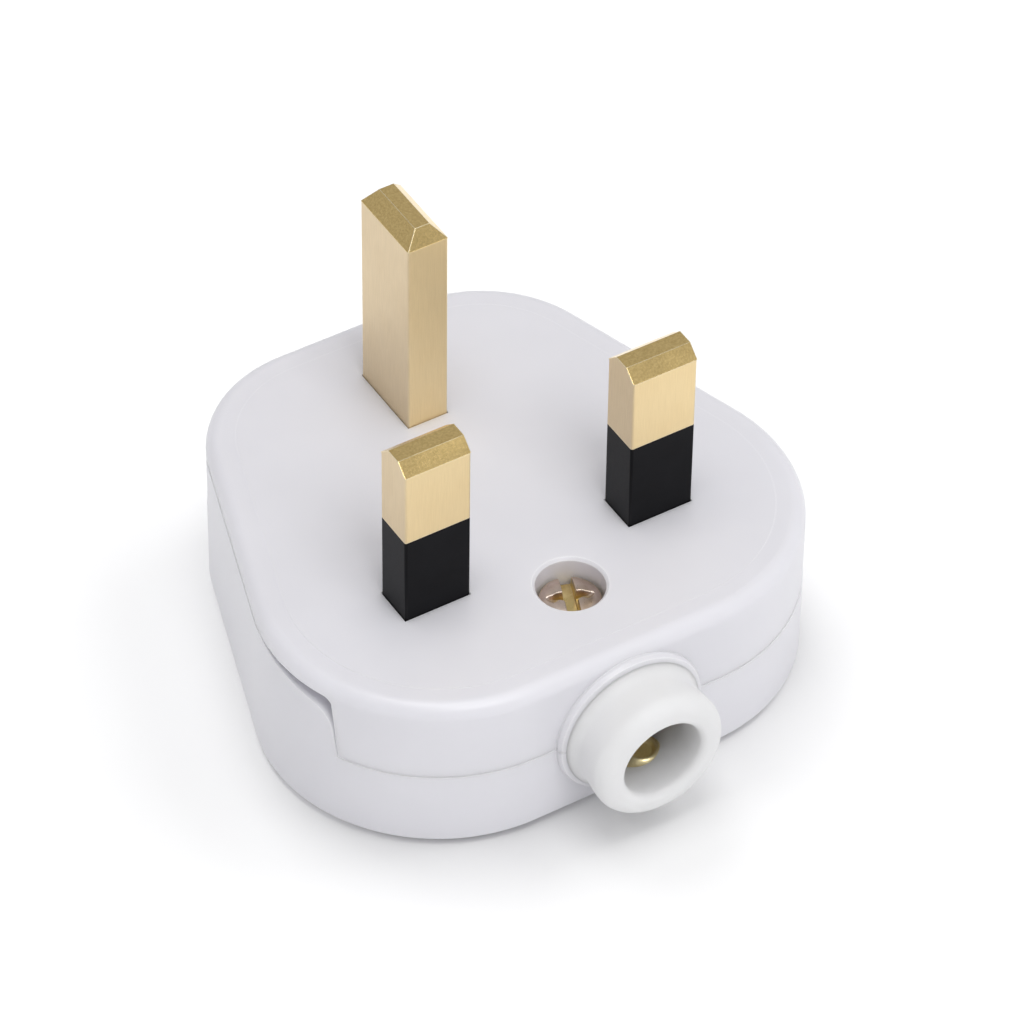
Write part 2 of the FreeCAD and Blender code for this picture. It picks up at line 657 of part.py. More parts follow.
def pin_tip(body, x, y, wide, thick, side_bevel, end_bevel, down, length):
    """The bevelled end of a pin: a hipped roof on its section."""
    tip = body.newObject("PartDesign::AdditiveWedge", f"{body.Name}_tip")
    tip.Placement = Placement(Vector(), Rotation(Vector(1, 0, 0), 90))
    bind(tip, Xmin=f"-({wide}) / 2", Xmax=f"({wide}) / 2", Zmin=f"-({thick}) / 2", Zmax=f"({thick}) / 2",
         X2min=f"{side_bevel} - ({wide}) / 2", X2max=f"({wide}) / 2 - ({side_bevel})",
         Z2min=f"{end_bevel} - ({thick}) / 2", Z2max=f"({thick}) / 2 - ({end_bevel})",
         Ymin="0", Ymax=down)
    place(tip, x, y, f"{length} - {down}")


def pin_bar(body, x, y, wide, thick, low, high):
    """The straight part of a pin, with its long edges rounded."""
    box(f"{body.Name}_bar", around(x, wide), around(y, thick), (low, high), body)
    doc.recompute()
    round_edges(body, upright_edges(body.Tip.Shape, value(low), value(high)), "pin_edge")


def make_insulated_pin(label, x):
    """A live or neutral pin: bare tip above a core that is stepped in for the black sleeve."""
    body = new_body(label)
    pin_bar(body, x, "0", "pin_wide", "pin_thick", "insulated_length", "pin_length - pin_bevel_down")
    pin_tip(body, x, "0", "pin_wide", "pin_thick", "0", "pin_bevel_in", "pin_bevel_down", "pin_length")
    box(f"{label}_core", around(x, "pin_wide - 2 * insulated_wall"),
        around("0", "pin_thick - 2 * insulated_wall"), (INSIDE, "insulated_length"), body)
    return body


def make_pin_sleeve(label, x):
    """The black sleeve round the root of a live or neutral pin."""
    body = new_body(label)
    pin_bar(body, x, "0", "pin_wide", "pin_thick", "-insulated_root", "insulated_length")
    box(f"{label}_bore", around(x, "pin_wide - 2 * insulated_wall"),
        around("0", "pin_thick - 2 * insulated_wall"),
        ("-2 * insulated_root", "2 * insulated_length"), body, "Subtractive")
    return body


def terminal_holes(body, x, y, front, z_wire, end):
    """The wire hole of a terminal, open to the front, and its threaded screw hole from below."""
    rod(f"{body.Name}_wire_hole", x, (f"{front} - wire_radius", f"{y} + 2 * wire_radius"), z_wire,
        "wire_radius", body, "Subtractive")
    rod(f"{body.Name}_screw_hole", x, y, (end, z_wire), "terminal_shank + thread_gap", body, "Subtractive")


def make_live_pin():
    body = make_insulated_pin("live_pin", LIVE_X)
    box("live_pin_foot", around(LIVE_X, "foot_wide"), ("-fuse_front", "pin_thick"), (CLIP_TOP, INSIDE), body)
    return body


def make_neutral_pin():
    body = make_insulated_pin("neutral_pin", NEUTRAL_X)
    box("neutral_pin_block", around(NEUTRAL_X, "neutral_block"), around("0", "neutral_block"),
        (BLOCK_END, INSIDE), body)
    terminal_holes(body, NEUTRAL_X, "0", "-neutral_block / 2", f"{INSIDE} - wire_drop", BLOCK_END)
    return body


EARTH_BLOCK_FRONT = "earth_offset - earth_block_long / 2"
EARTH_SCREW_Y = f"{EARTH_BLOCK_FRONT} + earth_screw_back"


def make_earth_pin():
    body = new_body("earth_pin")
    pin_bar(body, "0", "earth_offset", "earth_wide", "earth_thick", INSIDE, "earth_length - earth_bevel_down")
    pin_tip(body, "0", "earth_offset", "earth_wide", "earth_thick", "earth_bevel_side", "earth_bevel_end",
            "earth_bevel_down", "earth_length")
    box("earth_pin_block", around("0", "earth_block_wide"), around("earth_offset", "earth_block_long"),
        (BLOCK_END, INSIDE), body)
    terminal_holes(body, "0", EARTH_SCREW_Y, EARTH_BLOCK_FRONT, f"{INSIDE} - wire_drop", BLOCK_END)
    return body


LIVE_BLOCK_END = f"{LIVE_BLOCK_TOP} - live_block_drop"
LIVE_SCREW_Y = f"{LIVE_BLOCK_FRONT} + live_block_long / 2"
LIVE_WIRE_Z = f"{LIVE_BLOCK_TOP} - live_block_drop / 2"


def make_live_terminal():
    """The live terminal behind the fuse, with its wire hole across the plug."""
    body = new_body("live_terminal")
    box("live_terminal_block", around(LIVE_X, "live_block_wide"),
        (LIVE_BLOCK_FRONT, f"{LIVE_BLOCK_FRONT} + live_block_long"), (LIVE_BLOCK_END, LIVE_BLOCK_TOP), body)
    rod("live_terminal_wire_hole", around(LIVE_X, "live_block_wide * 2"), LIVE_SCREW_Y, LIVE_WIRE_Z,
        "wire_radius", body, "Subtractive")
    rod("live_terminal_screw_hole", LIVE_X, LIVE_SCREW_Y, (LIVE_BLOCK_END, LIVE_WIRE_Z),
        "terminal_shank + thread_gap", body, "Subtractive")
    return body


def slotted_screw(label, shank, head, head_high, shank_long, x, y, seat):
    """A slotted screw, driven from the cover's side, whose head bears on a seat."""
    body = turned(label, [
        ("0", f"-({head_high})"),
        (head, f"-({head_high})"),
        (head, "0"),
        (shank, "0"),
        (shank, shank_long),
        ("0", shank_long),
    ])
    box(f"{label}_slot", around("0", f"4 * {head}"), around("0", "terminal_slot"),
        (f"-2 * {head_high}", f"-{head_high} / 2"), body, "Subtractive")
    place(body, x, y, seat)
    return body


def make_terminal_screws():
    drop = "block_drop - wire_drop"
    return [
        slotted_screw("live_terminal_screw", "terminal_shank", "terminal_head", "terminal_head_high",
                      "live_block_drop / 2", LIVE_X, LIVE_SCREW_Y, LIVE_BLOCK_END),
        slotted_screw("neutral_terminal_screw", "terminal_shank", "terminal_head", "terminal_head_high",
                      drop, NEUTRAL_X, "0", BLOCK_END),
        slotted_screw("earth_terminal_screw", "terminal_shank", "terminal_head", "terminal_head_high",
                      drop, "0", EARTH_SCREW_Y, BLOCK_END),
    ]


def make_cover_screw():
    """The screw that closes the housing: domed head with a slot and a cross recess."""
    body = turned("cover_screw", [
        ("0", "0"),
        ("head_radius - head_dome", "0"),
        ("head_radius", "-head_dome"),
        ("head_radius", "-head_high"),
        ("shank_radius", "-head_high"),
        ("shank_radius", "-head_high - shank_long"),
        ("0", "-head_high - shank_long"),
    ])
    deep = ("-slot_deep", "slot_deep")
    slots = (("slot", "slot_wide", "4 * head_radius"), ("cross", "cross_long", "slot_wide"))
    for word, wide, long in slots:
        box(f"cover_screw_{word}", around("0", wide), around("0", long), deep, body, "Subtractive")
    body.setExpression("Placement.Rotation.Angle", bound("-slot_turn"))
    place(body, "0", SCREW_Y, "-screw_sunk")
    return body


def make_washer():
    body = turned("screw_retaining_washer", [
        ("shank_radius + thread_gap", "0"),
        ("washer_radius", "0"),
        ("washer_radius", "washer_thick"),
        ("shank_radius + thread_gap", "washer_thick"),
    ])
    place(body, "0", SCREW_Y, PILLAR_TOP)
    return body


def make_insert():
    """The threaded insert pressed into the cover's pillar."""
    body = turned("cover_insert", [
        ("shank_radius + thread_gap", "-insert_long"),
        ("insert_radius", "-insert_long"),
        ("insert_radius", "0"),
        ("shank_radius + thread_gap", "0"),
    ])
    place(body, "0", SCREW_Y, PILLAR_TOP)
    return body


def lay_fuse_piece(body, y):
    """Lays a piece that was turned about Z along the fuse's axis."""
    body.Placement.Rotation = Rotation(Vector(1, 0, 0), -90)
    place(body, LIVE_X, y, FUSE_Z)
    return body


def make_fuse():
    """The cartridge fuse: a ceramic barrel between two metal caps."""
    barrel = turned("fuse_body", [
        ("0", "cap_wall"),
        ("fuse_radius - cap_wall", "cap_wall"),
        ("fuse_radius - cap_wall", "fuse_length - cap_wall"),
        ("0", "fuse_length - cap_wall"),
    ])
    pieces = [lay_fuse_piece(barrel, "-fuse_front")]
    for word, end, inward in (("pin_side", "0", "1"), ("terminal_side", "fuse_length", "-1")):
        cap = turned(f"fuse_cap_{word}", [
            ("0", end),
            ("fuse_radius", end),
            ("fuse_radius", f"{end} + {inward} * cap_long"),
            ("fuse_radius - cap_wall", f"{end} + {inward} * cap_long"),
            ("fuse_radius - cap_wall", f"{end} + {inward} * cap_wall"),
            ("0", f"{end} + {inward} * cap_wall"),
        ])
        pieces.append(lay_fuse_piece(cap, "-fuse_front"))
    return pieces


def make_fuse_clip(label, y, tab):
    """A spring clip over a fuse cap: a sheet ring open downwards, with a flat on top."""
    body = new_body(label)
    box(f"{label}_flat", around(LIVE_X, "clip_wide"), tab, (LIVE_BLOCK_TOP, CLIP_TOP), body)
    rod(f"{label}_ring", LIVE_X, y, FUSE_Z, "fuse_radius + clip_thick", body)
    rod(f"{label}_bore", LIVE_X, y, FUSE_Z, "fuse_radius", body, "Subtractive")
    box(f"{label}_mouth", around(LIVE_X, "4 * fuse_radius"), y,
        (f"{FUSE_Z} - 2 * fuse_radius", f"{FUSE_Z} - clip_mouth"), body, "Subtractive")
    return body


def make_fuse_clips():
    pin_middle = "cap_long / 2 - fuse_front"
    far_middle = f"{FUSE_END} - cap_long / 2"
    near = around(pin_middle, "clip_long")
    far = around(far_middle, "clip_long")
    return [
        make_fuse_clip("fuse_clip_pin_side", near, near),
        make_fuse_clip("fuse_clip_terminal_side", far, (far[0], f"{LIVE_BLOCK_FRONT} + live_block_long")),
    ]


def make_cord_grip():
    """The bar that clamps the cord against the base's saddle, and its two screws."""
    bar = new_body("cord_grip_bar")
    top = f"{GRIP_SEAT} + grip_thick"
    box("cord_grip_bar_blank", around("0", "grip_long"), around(GRIP_Y, "grip_wide"), (GRIP_SEAT, top), bar)
    doc.recompute()
    round_edges(bar, upright_edges(bar.Tip.Shape, value(GRIP_SEAT), value(top)), "grip_corner")
    pieces = [bar]
    for word, x in grip_screw_places():
        rod(f"cord_grip_bar_hole_{word}", x, GRIP_Y, (BACK, "0"), "grip_shank + shank_gap", bar, "Subtractive")
        shank_long = f"{SADDLE_END} + saddle_thick - saddle_skin - shank_gap - ({GRIP_SEAT})"
        pieces.append(slotted_screw(f"cord_grip_screw_{word}", "grip_shank", "grip_head", "grip_head_high",
                                    shank_long, x, GRIP_Y, GRIP_SEAT))
    return pieces


pieces = [make_base(), make_cover(), make_outlet_sleeve()]
pieces += [make_live_pin(), make_neutral_pin(), make_earth_pin()]
pieces += [make_pin_sleeve("live_pin_sleeve", LIVE_X), make_pin_sleeve("neutral_pin_sleeve", NEUTRAL_X)]
pieces += [make_cover_screw(), make_washer(), make_insert()]
pieces += [make_live_terminal()] + make_terminal_screws()
pieces += make_fuse() + make_fuse_clips() + make_cord_grip()
doc.recompute()

failed = [item.Label for item in doc.Objects if {"Invalid", "Error"} & set(item.State)]
if failed:
    raise RuntimeError(f"failed objects: {failed}")
for piece in pieces:
    if piece.Shape.isNull() or not piece.Shape.isValid() or len(piece.Shape.Solids) != 1:
        raise RuntimeError(f"{piece.Label} is not one valid solid")

os.makedirs("parts", exist_ok=True)
for piece in pieces:
    piece.Shape.exportStep(f"parts/{piece.Label}.step")
    print(f"{piece.Label}: {piece.Shape.Volume:.1f} mm3")
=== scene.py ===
# %% [markdown]
# # Finishing a three-pin mains plug
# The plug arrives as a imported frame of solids: two white housing halves, three brass pins and the parts
# inside. This lesson gives every solid its finish, models three small pieces whose look depends on fine
# curves, lights the plug on a pale floor and places the camera. Nothing of the frame is moved: a finish is
# a material on the solid, and a finer piece stands in for its solid at the same place.

# %% Load the frame
import json
import math

import bmesh
import bpy
from mathutils import Matrix, Vector

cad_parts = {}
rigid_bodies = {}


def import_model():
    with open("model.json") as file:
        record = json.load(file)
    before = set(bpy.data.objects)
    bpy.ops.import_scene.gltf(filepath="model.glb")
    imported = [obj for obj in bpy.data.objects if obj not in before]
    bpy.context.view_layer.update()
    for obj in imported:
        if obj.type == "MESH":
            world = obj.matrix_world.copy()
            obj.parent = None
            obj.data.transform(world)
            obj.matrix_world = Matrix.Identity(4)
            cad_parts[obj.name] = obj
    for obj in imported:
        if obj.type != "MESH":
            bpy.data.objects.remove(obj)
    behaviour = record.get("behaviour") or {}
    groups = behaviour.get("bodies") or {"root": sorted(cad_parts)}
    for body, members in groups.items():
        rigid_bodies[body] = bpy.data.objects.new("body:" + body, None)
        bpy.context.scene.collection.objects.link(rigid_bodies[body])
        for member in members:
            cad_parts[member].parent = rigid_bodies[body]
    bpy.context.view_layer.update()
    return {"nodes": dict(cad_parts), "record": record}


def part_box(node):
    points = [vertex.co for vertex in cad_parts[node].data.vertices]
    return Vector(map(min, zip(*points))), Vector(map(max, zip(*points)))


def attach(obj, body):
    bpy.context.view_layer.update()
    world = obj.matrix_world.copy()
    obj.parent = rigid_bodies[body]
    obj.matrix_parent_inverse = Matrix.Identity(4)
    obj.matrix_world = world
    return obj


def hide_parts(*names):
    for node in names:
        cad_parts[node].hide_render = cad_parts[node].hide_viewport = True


for leftover in list(bpy.data.objects):
    bpy.data.objects.remove(leftover)
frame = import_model()
for plain_colour in list(bpy.data.materials):
    bpy.data.materials.remove(plain_colour)
nodes = frame["nodes"]
scene = bpy.context.scene
MM = 0.001
print("nodes in the frame:", len(nodes))

# %% [markdown]
# ## Where things are
# Three places carry the rest of this lesson: the plug's back, which lies on the floor, the outlet's axis
# and the cover screw's axis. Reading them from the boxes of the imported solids, rather than typing them
# again, keeps the floor and the modelled pieces in place if a size of the plug changes.

# %% Places on the plug
back_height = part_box("cover")[0].z
sleeve_low, sleeve_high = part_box("outlet_sleeve")
screw_low, screw_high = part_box("cover_screw")
screw_axis = (screw_low + screw_high) / 2
outlet_height = (sleeve_low.z + sleeve_high.z) / 2
print("back at", round(back_height / MM, 2), "mm, outlet axis at", round(outlet_height / MM, 2), "mm")
print("cover screw at y", round(screw_axis.y / MM, 2), "mm")

# %% [markdown]
# ## The camera
# The picture is taken from a long way off with a long lens, so the pins stay almost parallel. Angle and
# distance place the camera round an aim point on the plug, in the same terms as a photographer's notes: so
# many degrees round, so many degrees up, and a slight roll of the tripod head.

# %% Place the camera
VIEW_ROUND = math.radians(-31.97)
VIEW_UP = math.radians(44.07)
VIEW_ROLL = math.radians(0.80)
VIEW_DISTANCE = 511.06 * MM
LENS_MM = 210.94
AIM_RIGHT = -2.20 * MM
AIM_DOWN = -2.90 * MM
NEAREST_SEEN = 10 * MM


def view_axes(around, up, roll):
    """The camera's right, down and backward directions."""
    back = Vector((math.sin(around) * math.cos(up), -math.cos(around) * math.cos(up), math.sin(up)))
    level = Vector((math.cos(around), math.sin(around), 0))
    down = level.cross(back)
    right = level * math.cos(roll) - down * math.sin(roll)
    return right, level * math.sin(roll) + down * math.cos(roll), back


right, down, back = view_axes(VIEW_ROUND, VIEW_UP, VIEW_ROLL)
camera = bpy.data.objects.new("camera", bpy.data.cameras.new("camera"))
camera.data.lens = LENS_MM
camera.data.clip_start = NEAREST_SEEN
camera.matrix_world = Matrix((right, -down, back)).transposed().to_4x4()
camera.location = right * AIM_RIGHT + down * AIM_DOWN + back * VIEW_DISTANCE
scene.collection.objects.link(camera)
scene.camera = camera
print("camera at", [round(part / MM) for part in camera.location], "mm")

# %% [markdown]
# ## The floor
# The plug lies on a white sweep that is bright enough to lose its own edge. A wide plane with a dull white
# paint does for it. It lies a hair below the plug's back, because two surfaces in one plane show as stripes.

# %% Lay the floor
FLOOR_SIZE = 4.0
FLOOR_WHITE = (0.91, 0.91, 0.91, 1)
FLOOR_ROUGH = 0.9
FLOOR_GLOSS = 0.0
FLOOR_GAP = 0.02 * MM

bpy.ops.mesh.primitive_plane_add(size=FLOOR_SIZE, location=(0, 0, back_height - FLOOR_GAP))
floor = bpy.context.object
floor.name = "floor"
floor_paint = bpy.data.materials.new("floor_paint")
floor_paint.use_nodes = True
floor_shader = floor_paint.node_tree.nodes["Principled BSDF"]
floor_shader.inputs["Base Color"].default_value = FLOOR_WHITE
floor_shader.inputs["Roughness"].default_value = FLOOR_ROUGH
floor_shader.inputs["Specular IOR Level"].default_value = FLOOR_GLOSS
floor.data.materials.append(floor_paint)
print("floor at", round(floor.location.z / MM, 2), "mm")

# %% [markdown]
# ## Studio light
# A photographer lights the table and the object apart, and Blender's light linking does the same here: the
# plug's lamps stand overhead and in front, and the floor's lamps stand more to the back and the sides, so
# that the soft shadow gathers in front. A small low lamp in front picks out the lower edges of the pins'
# tips. A grey surround fills the rest and shows in the brass, where faces that look up into it go deep gold.

# %% Light the studio
SURROUND = (0.45, 0.45, 0.455, 1)
WIDE_LAMP = 420
SMALL_LAMP = 170
# Each lamp: its place in mm, its width in mm and its power in watts.
PLUG_LAMPS = {
    "front_overhead": ((0, -450, 700), WIDE_LAMP, 2.30),
    "overhead": ((0, 0, 800), WIDE_LAMP, 1.92),
    "right_fill": ((500, -320, 550), WIDE_LAMP, 0.08),
    "low_front": ((266, -641, 90), SMALL_LAMP, 0.13),
}
FLOOR_LAMPS = {
    "floor_back": ((0, 450, 700), WIDE_LAMP, 1.85),
    "floor_overhead": ((0, 0, 800), WIDE_LAMP, 1.70),
    "floor_left": ((-550, 0, 600), WIDE_LAMP, 0.95),
    "floor_right": ((550, 0, 600), WIDE_LAMP, 1.40),
    "floor_right_front": ((500, -320, 550), WIDE_LAMP, 0.70),
}


def linked_to_floor(name, state):
    """A list of what a lamp lights: the floor alone, or everything but the floor."""
    listed = bpy.data.collections.new(name)
    listed.objects.link(floor)
    listed.collection_objects[0].light_linking.link_state = state
    return listed


def add_lamp(name, place_mm, wide_mm, power, lights):
    """A square soft lamp that faces the plug and lights what its list says."""
    lamp = bpy.data.objects.new(name, bpy.data.lights.new(name, "AREA"))
    lamp.data.size = wide_mm * MM
    lamp.data.energy = power
    lamp.location = Vector(place_mm) * MM
    lamp.rotation_euler = (-lamp.location).to_track_quat("-Z", "Y").to_euler()
    lamp.light_linking.receiver_collection = lights
    scene.collection.objects.link(lamp)


scene.view_settings.view_transform = "Standard"
scene.world = bpy.data.worlds.new("surround")
scene.world.use_nodes = True
scene.world.node_tree.nodes["Background"].inputs["Color"].default_value = SURROUND
for lamps, lights in ((PLUG_LAMPS, linked_to_floor("all_but_floor", "EXCLUDE")),
                      (FLOOR_LAMPS, linked_to_floor("floor_alone", "INCLUDE"))):
    for name, (place_mm, wide_mm, power) in lamps.items():
        add_lamp(name, place_mm, wide_mm, power, lights)
print("lamps on the plug:", len(PLUG_LAMPS), "and on the floor:", len(FLOOR_LAMPS))

# %% [markdown]
# ## Helpers for materials
# Every finish below is a small tree of nodes. These helpers keep them readable: one adds a node with its
# settings, one does a sum on two inputs, and one starts a material with its shader. The shader's plain
# colour and roughness are what it shows until nodes are linked over them.

# %% Helpers that build a material


def add_node(tree, kind, values=None, **settings):
    """A node of one kind, with its settings and its input values."""
    node = tree.nodes.new(kind)
    for name, setting in settings.items():
        setattr(node, name, setting)
    for name, number in (values or {}).items():
        node.inputs[name].default_value = number
    return node


def math_node(tree, operation, first, second):
    """A sum on two inputs, each a socket or a number."""
    node = add_node(tree, "ShaderNodeMath", operation=operation)
    for socket, source in zip(node.inputs, (first, second)):
        if isinstance(source, bpy.types.NodeSocket):
            tree.links.new(source, socket)
        else:
            socket.default_value = source
    return node.outputs["Value"]


def new_material(name, colour, roughness, **sockets):
    """A material with its shader; further shader values are named by their socket, with _ for spaces."""
    material = bpy.data.materials.new(name)
    material.use_nodes = True
    shader = material.node_tree.nodes["Principled BSDF"]
    shader.inputs["Base Color"].default_value = (*colour, 1)
    shader.inputs["Roughness"].default_value = roughness
    for socket, number in sockets.items():
        shader.inputs[socket.replace("_", " ")].default_value = number
    return material, material.node_tree, shader


print("material helpers ready")

# %% [markdown]
# ## Helpers for node groups
# An effect that several finishes share is best made once. A node group does that: it has named sockets like
# any node, and each material places it with values of its own. One helper opens a group and one places it.

# %% Helpers that build a node group


def new_group(name, inputs, outputs):
    """A node group with named inputs, each with a default, and named outputs."""
    group = bpy.data.node_groups.new(name, "ShaderNodeTree")
    for socket, (kind, default) in inputs.items():
        made = group.interface.new_socket(socket, in_out="INPUT", socket_type=kind)
        made.default_value = default
    for socket, kind in outputs.items():
        group.interface.new_socket(socket, in_out="OUTPUT", socket_type=kind)
    return group, group.nodes.new("NodeGroupInput"), group.nodes.new("NodeGroupOutput")


def place_group(tree, group, **values):
    """Puts a node group into a material with its own values."""
    node = add_node(tree, "ShaderNodeGroup", node_tree=group)
    for socket, number in values.items():
        node.inputs[socket.replace("_", " ")].default_value = number
    return node


print("group helpers ready")

# %% [markdown]
# ## A moulded skin
# Moulded plastic is never quite even. Broad, faint mottling comes from how it cooled, and a fine grain from
# the tool's surface breaks up the gloss. A noise at two scales gives both. The plastics, the ceramic and
# the fibre parts use this group, each at its own scale, and so do the speckle on cut brass and the blotches
# of the screw's plating.

# %% Group: moulded skin
FLOAT = "NodeSocketFloat"
VECTOR = "NodeSocketVector"
MOTTLE_DETAIL = 2.0
GRAIN_DETAIL = 4.0
SKIN_ROUGHNESS = 0.55

moulded_skin, skin_in, skin_out = new_group(
    "moulded_skin",
    {"Mottle per mm": (FLOAT, 0.15), "Grain per mm": (FLOAT, 6.0)},
    {"Mottle": FLOAT, "Grain": FLOAT},
)
skin_place = add_node(moulded_skin, "ShaderNodeTexCoord")
for output, detail in (("Mottle", MOTTLE_DETAIL), ("Grain", GRAIN_DETAIL)):
    noise = add_node(moulded_skin, "ShaderNodeTexNoise", {"Detail": detail, "Roughness": SKIN_ROUGHNESS})
    per_metre = math_node(moulded_skin, "DIVIDE", skin_in.outputs[f"{output} per mm"], MM)
    moulded_skin.links.new(skin_place.outputs["Object"], noise.inputs["Vector"])
    moulded_skin.links.new(per_metre, noise.inputs["Scale"])
    moulded_skin.links.new(noise.outputs["Fac"], skin_out.inputs[output])
print("moulded skin:", len(moulded_skin.nodes), "nodes")

# %% [markdown]
# ## A drawn grain
# Pins are cut from drawn brass bar, so their faces carry fine lines along the bar. A noise that is squeezed
# across the bar and stretched along it gives such lines. The frequency is a vector, so each metal can point
# its lines its own way: along the pin, along the fuse or alike in all directions.

# %% Group: drawn grain
STREAK_DETAIL = 5.0
STREAK_ROUGHNESS = 0.6
CLOUDS_PER_MM = 0.35
CLOUD_DETAIL = 3.0

drawn_grain, drawn_in, drawn_out = new_group(
    "drawn_grain",
    {"Lines per mm": (VECTOR, (12.0, 12.0, 0.4))},
    {"Streak": FLOAT, "Cloud": FLOAT},
)
drawn_place = add_node(drawn_grain, "ShaderNodeTexCoord")
per_metre = add_node(drawn_grain, "ShaderNodeVectorMath", {"Scale": 1 / MM}, operation="SCALE")
stretched = add_node(drawn_grain, "ShaderNodeVectorMath", operation="MULTIPLY")
streaks = add_node(drawn_grain, "ShaderNodeTexNoise",
                   {"Scale": 1.0, "Detail": STREAK_DETAIL, "Roughness": STREAK_ROUGHNESS})
cloud = add_node(drawn_grain, "ShaderNodeTexNoise", {"Scale": CLOUDS_PER_MM / MM, "Detail": CLOUD_DETAIL})
drawn_grain.links.new(drawn_in.outputs["Lines per mm"], per_metre.inputs[0])
drawn_grain.links.new(drawn_place.outputs["Object"], stretched.inputs[0])
drawn_grain.links.new(per_metre.outputs["Vector"], stretched.inputs[1])
drawn_grain.links.new(stretched.outputs["Vector"], streaks.inputs["Vector"])
drawn_grain.links.new(drawn_place.outputs["Object"], cloud.inputs["Vector"])
drawn_grain.links.new(streaks.outputs["Fac"], drawn_out.inputs["Streak"])
drawn_grain.links.new(cloud.outputs["Fac"], drawn_out.inputs["Cloud"])
print("drawn grain:", len(drawn_grain.nodes), "nodes")

# %% [markdown]
# ## Soft edges
# No real edge is perfectly sharp: moulded edges are eased, and cut metal is a little rounded along its
# corners. The Bevel node finds what the surface's direction would be if edges were rounded by a small
# radius. Its direction softens the shading, and where it differs from the true one there is an edge, which
# the finishes use as a mask, mostly for a highlight painted along it. A second direction is softened only
# where that turns the surface upwards. It is for mouldings, whose lower edges would otherwise darken into
# hard lines.

# %% Group: soft edges
BEVEL_SAMPLES = 6
EDGE_GAIN = 6.0
UPTURN = 0.02

soft_edges, edge_in, edge_out = new_group(
    "soft_edges",
    {"Radius mm": (FLOAT, 0.15)},
    {"Normal": VECTOR, "Upper": VECTOR, "Edge": FLOAT},
)
edge_radius = math_node(soft_edges, "MULTIPLY", edge_in.outputs["Radius mm"], MM)
rounded = add_node(soft_edges, "ShaderNodeBevel", samples=BEVEL_SAMPLES)
true_side = add_node(soft_edges, "ShaderNodeNewGeometry")
likeness = add_node(soft_edges, "ShaderNodeVectorMath", operation="DOT_PRODUCT")
soft_edges.links.new(edge_radius, rounded.inputs["Radius"])
soft_edges.links.new(rounded.outputs["Normal"], likeness.inputs[0])
soft_edges.links.new(true_side.outputs["Normal"], likeness.inputs[1])
edge_share = math_node(soft_edges, "SUBTRACT", 1.0, likeness.outputs["Value"])
edge_mask = math_node(soft_edges, "MULTIPLY", edge_share, EDGE_GAIN)
soft_edges.links.new(rounded.outputs["Normal"], edge_out.inputs["Normal"])
soft_edges.links.new(edge_mask, edge_out.inputs["Edge"])
turned = add_node(soft_edges, "ShaderNodeVectorMath", operation="SUBTRACT")
turned_up = add_node(soft_edges, "ShaderNodeSeparateXYZ")
upper = add_node(soft_edges, "ShaderNodeMix", data_type="VECTOR")
soft_edges.links.new(rounded.outputs["Normal"], turned.inputs[0])
soft_edges.links.new(true_side.outputs["Normal"], turned.inputs[1])
soft_edges.links.new(turned.outputs["Vector"], turned_up.inputs["Vector"])
looks_up = math_node(soft_edges, "GREATER_THAN", turned_up.outputs["Z"], UPTURN)
soft_edges.links.new(looks_up, upper.inputs["Factor"])
soft_edges.links.new(true_side.outputs["Normal"], upper.inputs["A"])
soft_edges.links.new(rounded.outputs["Normal"], upper.inputs["B"])
soft_edges.links.new(upper.outputs["Result"], edge_out.inputs["Upper"])
print("soft edges:", len(soft_edges.nodes), "nodes")

# %% [markdown]
# ## Wiring shared by the finishes
# Each finish ends the same way: a colour that wanders between two tones, a roughness between two values,
# and a very shallow bump, mostly on top of the softened edges. These helpers make that wiring, and one more
# mixes two colours by a mask. Noise seldom leaves the middle of its range, so a mask is read between two
# values there.

# %% Helpers that wire a finish
MASK_LOW = 0.3
MASK_HIGH = 0.7


def tone_between(tree, mask, dark, light):
    """A colour that wanders between two tones as a mask does."""
    ramp = add_node(tree, "ShaderNodeValToRGB")
    for stop, position, tone in zip(ramp.color_ramp.elements, (MASK_LOW, MASK_HIGH), (dark, light)):
        stop.position = position
        stop.color = (*tone, 1)
    tree.links.new(mask, ramp.inputs["Fac"])
    return ramp.outputs["Color"]


def mix_tones(tree, mask, first, second):
    """The first colour where the mask is 0 and the second, a socket or a tone, where it is 1."""
    mixed = add_node(tree, "ShaderNodeMix", data_type="RGBA")
    tree.links.new(mask, mixed.inputs["Factor"])
    tree.links.new(first, mixed.inputs["A"])
    if isinstance(second, bpy.types.NodeSocket):
        tree.links.new(second, mixed.inputs["B"])
    else:
        mixed.inputs["B"].default_value = (*second, 1)
    return mixed.outputs["Result"]


def value_between(tree, mask, low, high, start=MASK_LOW, end=MASK_HIGH):
    """A value that goes from low to high as a mask goes from start to end."""
    ends = {"From Min": start, "From Max": end, "To Min": low, "To Max": high}
    span = add_node(tree, "ShaderNodeMapRange", ends)
    tree.links.new(mask, span.inputs["Value"])
    return span.outputs["Result"]


def add_relief(tree, shader, height, depth_mm, strength, eased=None):
    """A shallow bump from a height between 0 and 1, over an eased direction where one is given."""
    bump = add_node(tree, "ShaderNodeBump", {"Strength": strength, "Distance": depth_mm * MM})
    tree.links.new(height, bump.inputs["Height"])
    if eased:
        tree.links.new(eased, bump.inputs["Normal"])
    tree.links.new(bump.outputs["Normal"], shader.inputs["Normal"])


print("wiring helpers ready")

# %% [markdown]
# ## The white housing
# The housing is a hard white moulding with a cool cast and a soft gloss, close to a polished tool's finish.
# The cast is in the colour, not in the light, because the soft sleeve beside it stays neutral under the
# same lamps. Light goes a little way into such plastic, and a highlight is painted into the colour along its
# eased edges so they show paler than its walls; the two together keep the line between the two halves faint.

# %% Finish: housing white
EVEN_SPREAD = (1.0, 1.0, 1.0)
# A highlight painted into the colour along the housing's eased edges.
PAINTED_HOUSING_HIGHLIGHT = (0.95, 0.945, 0.98)


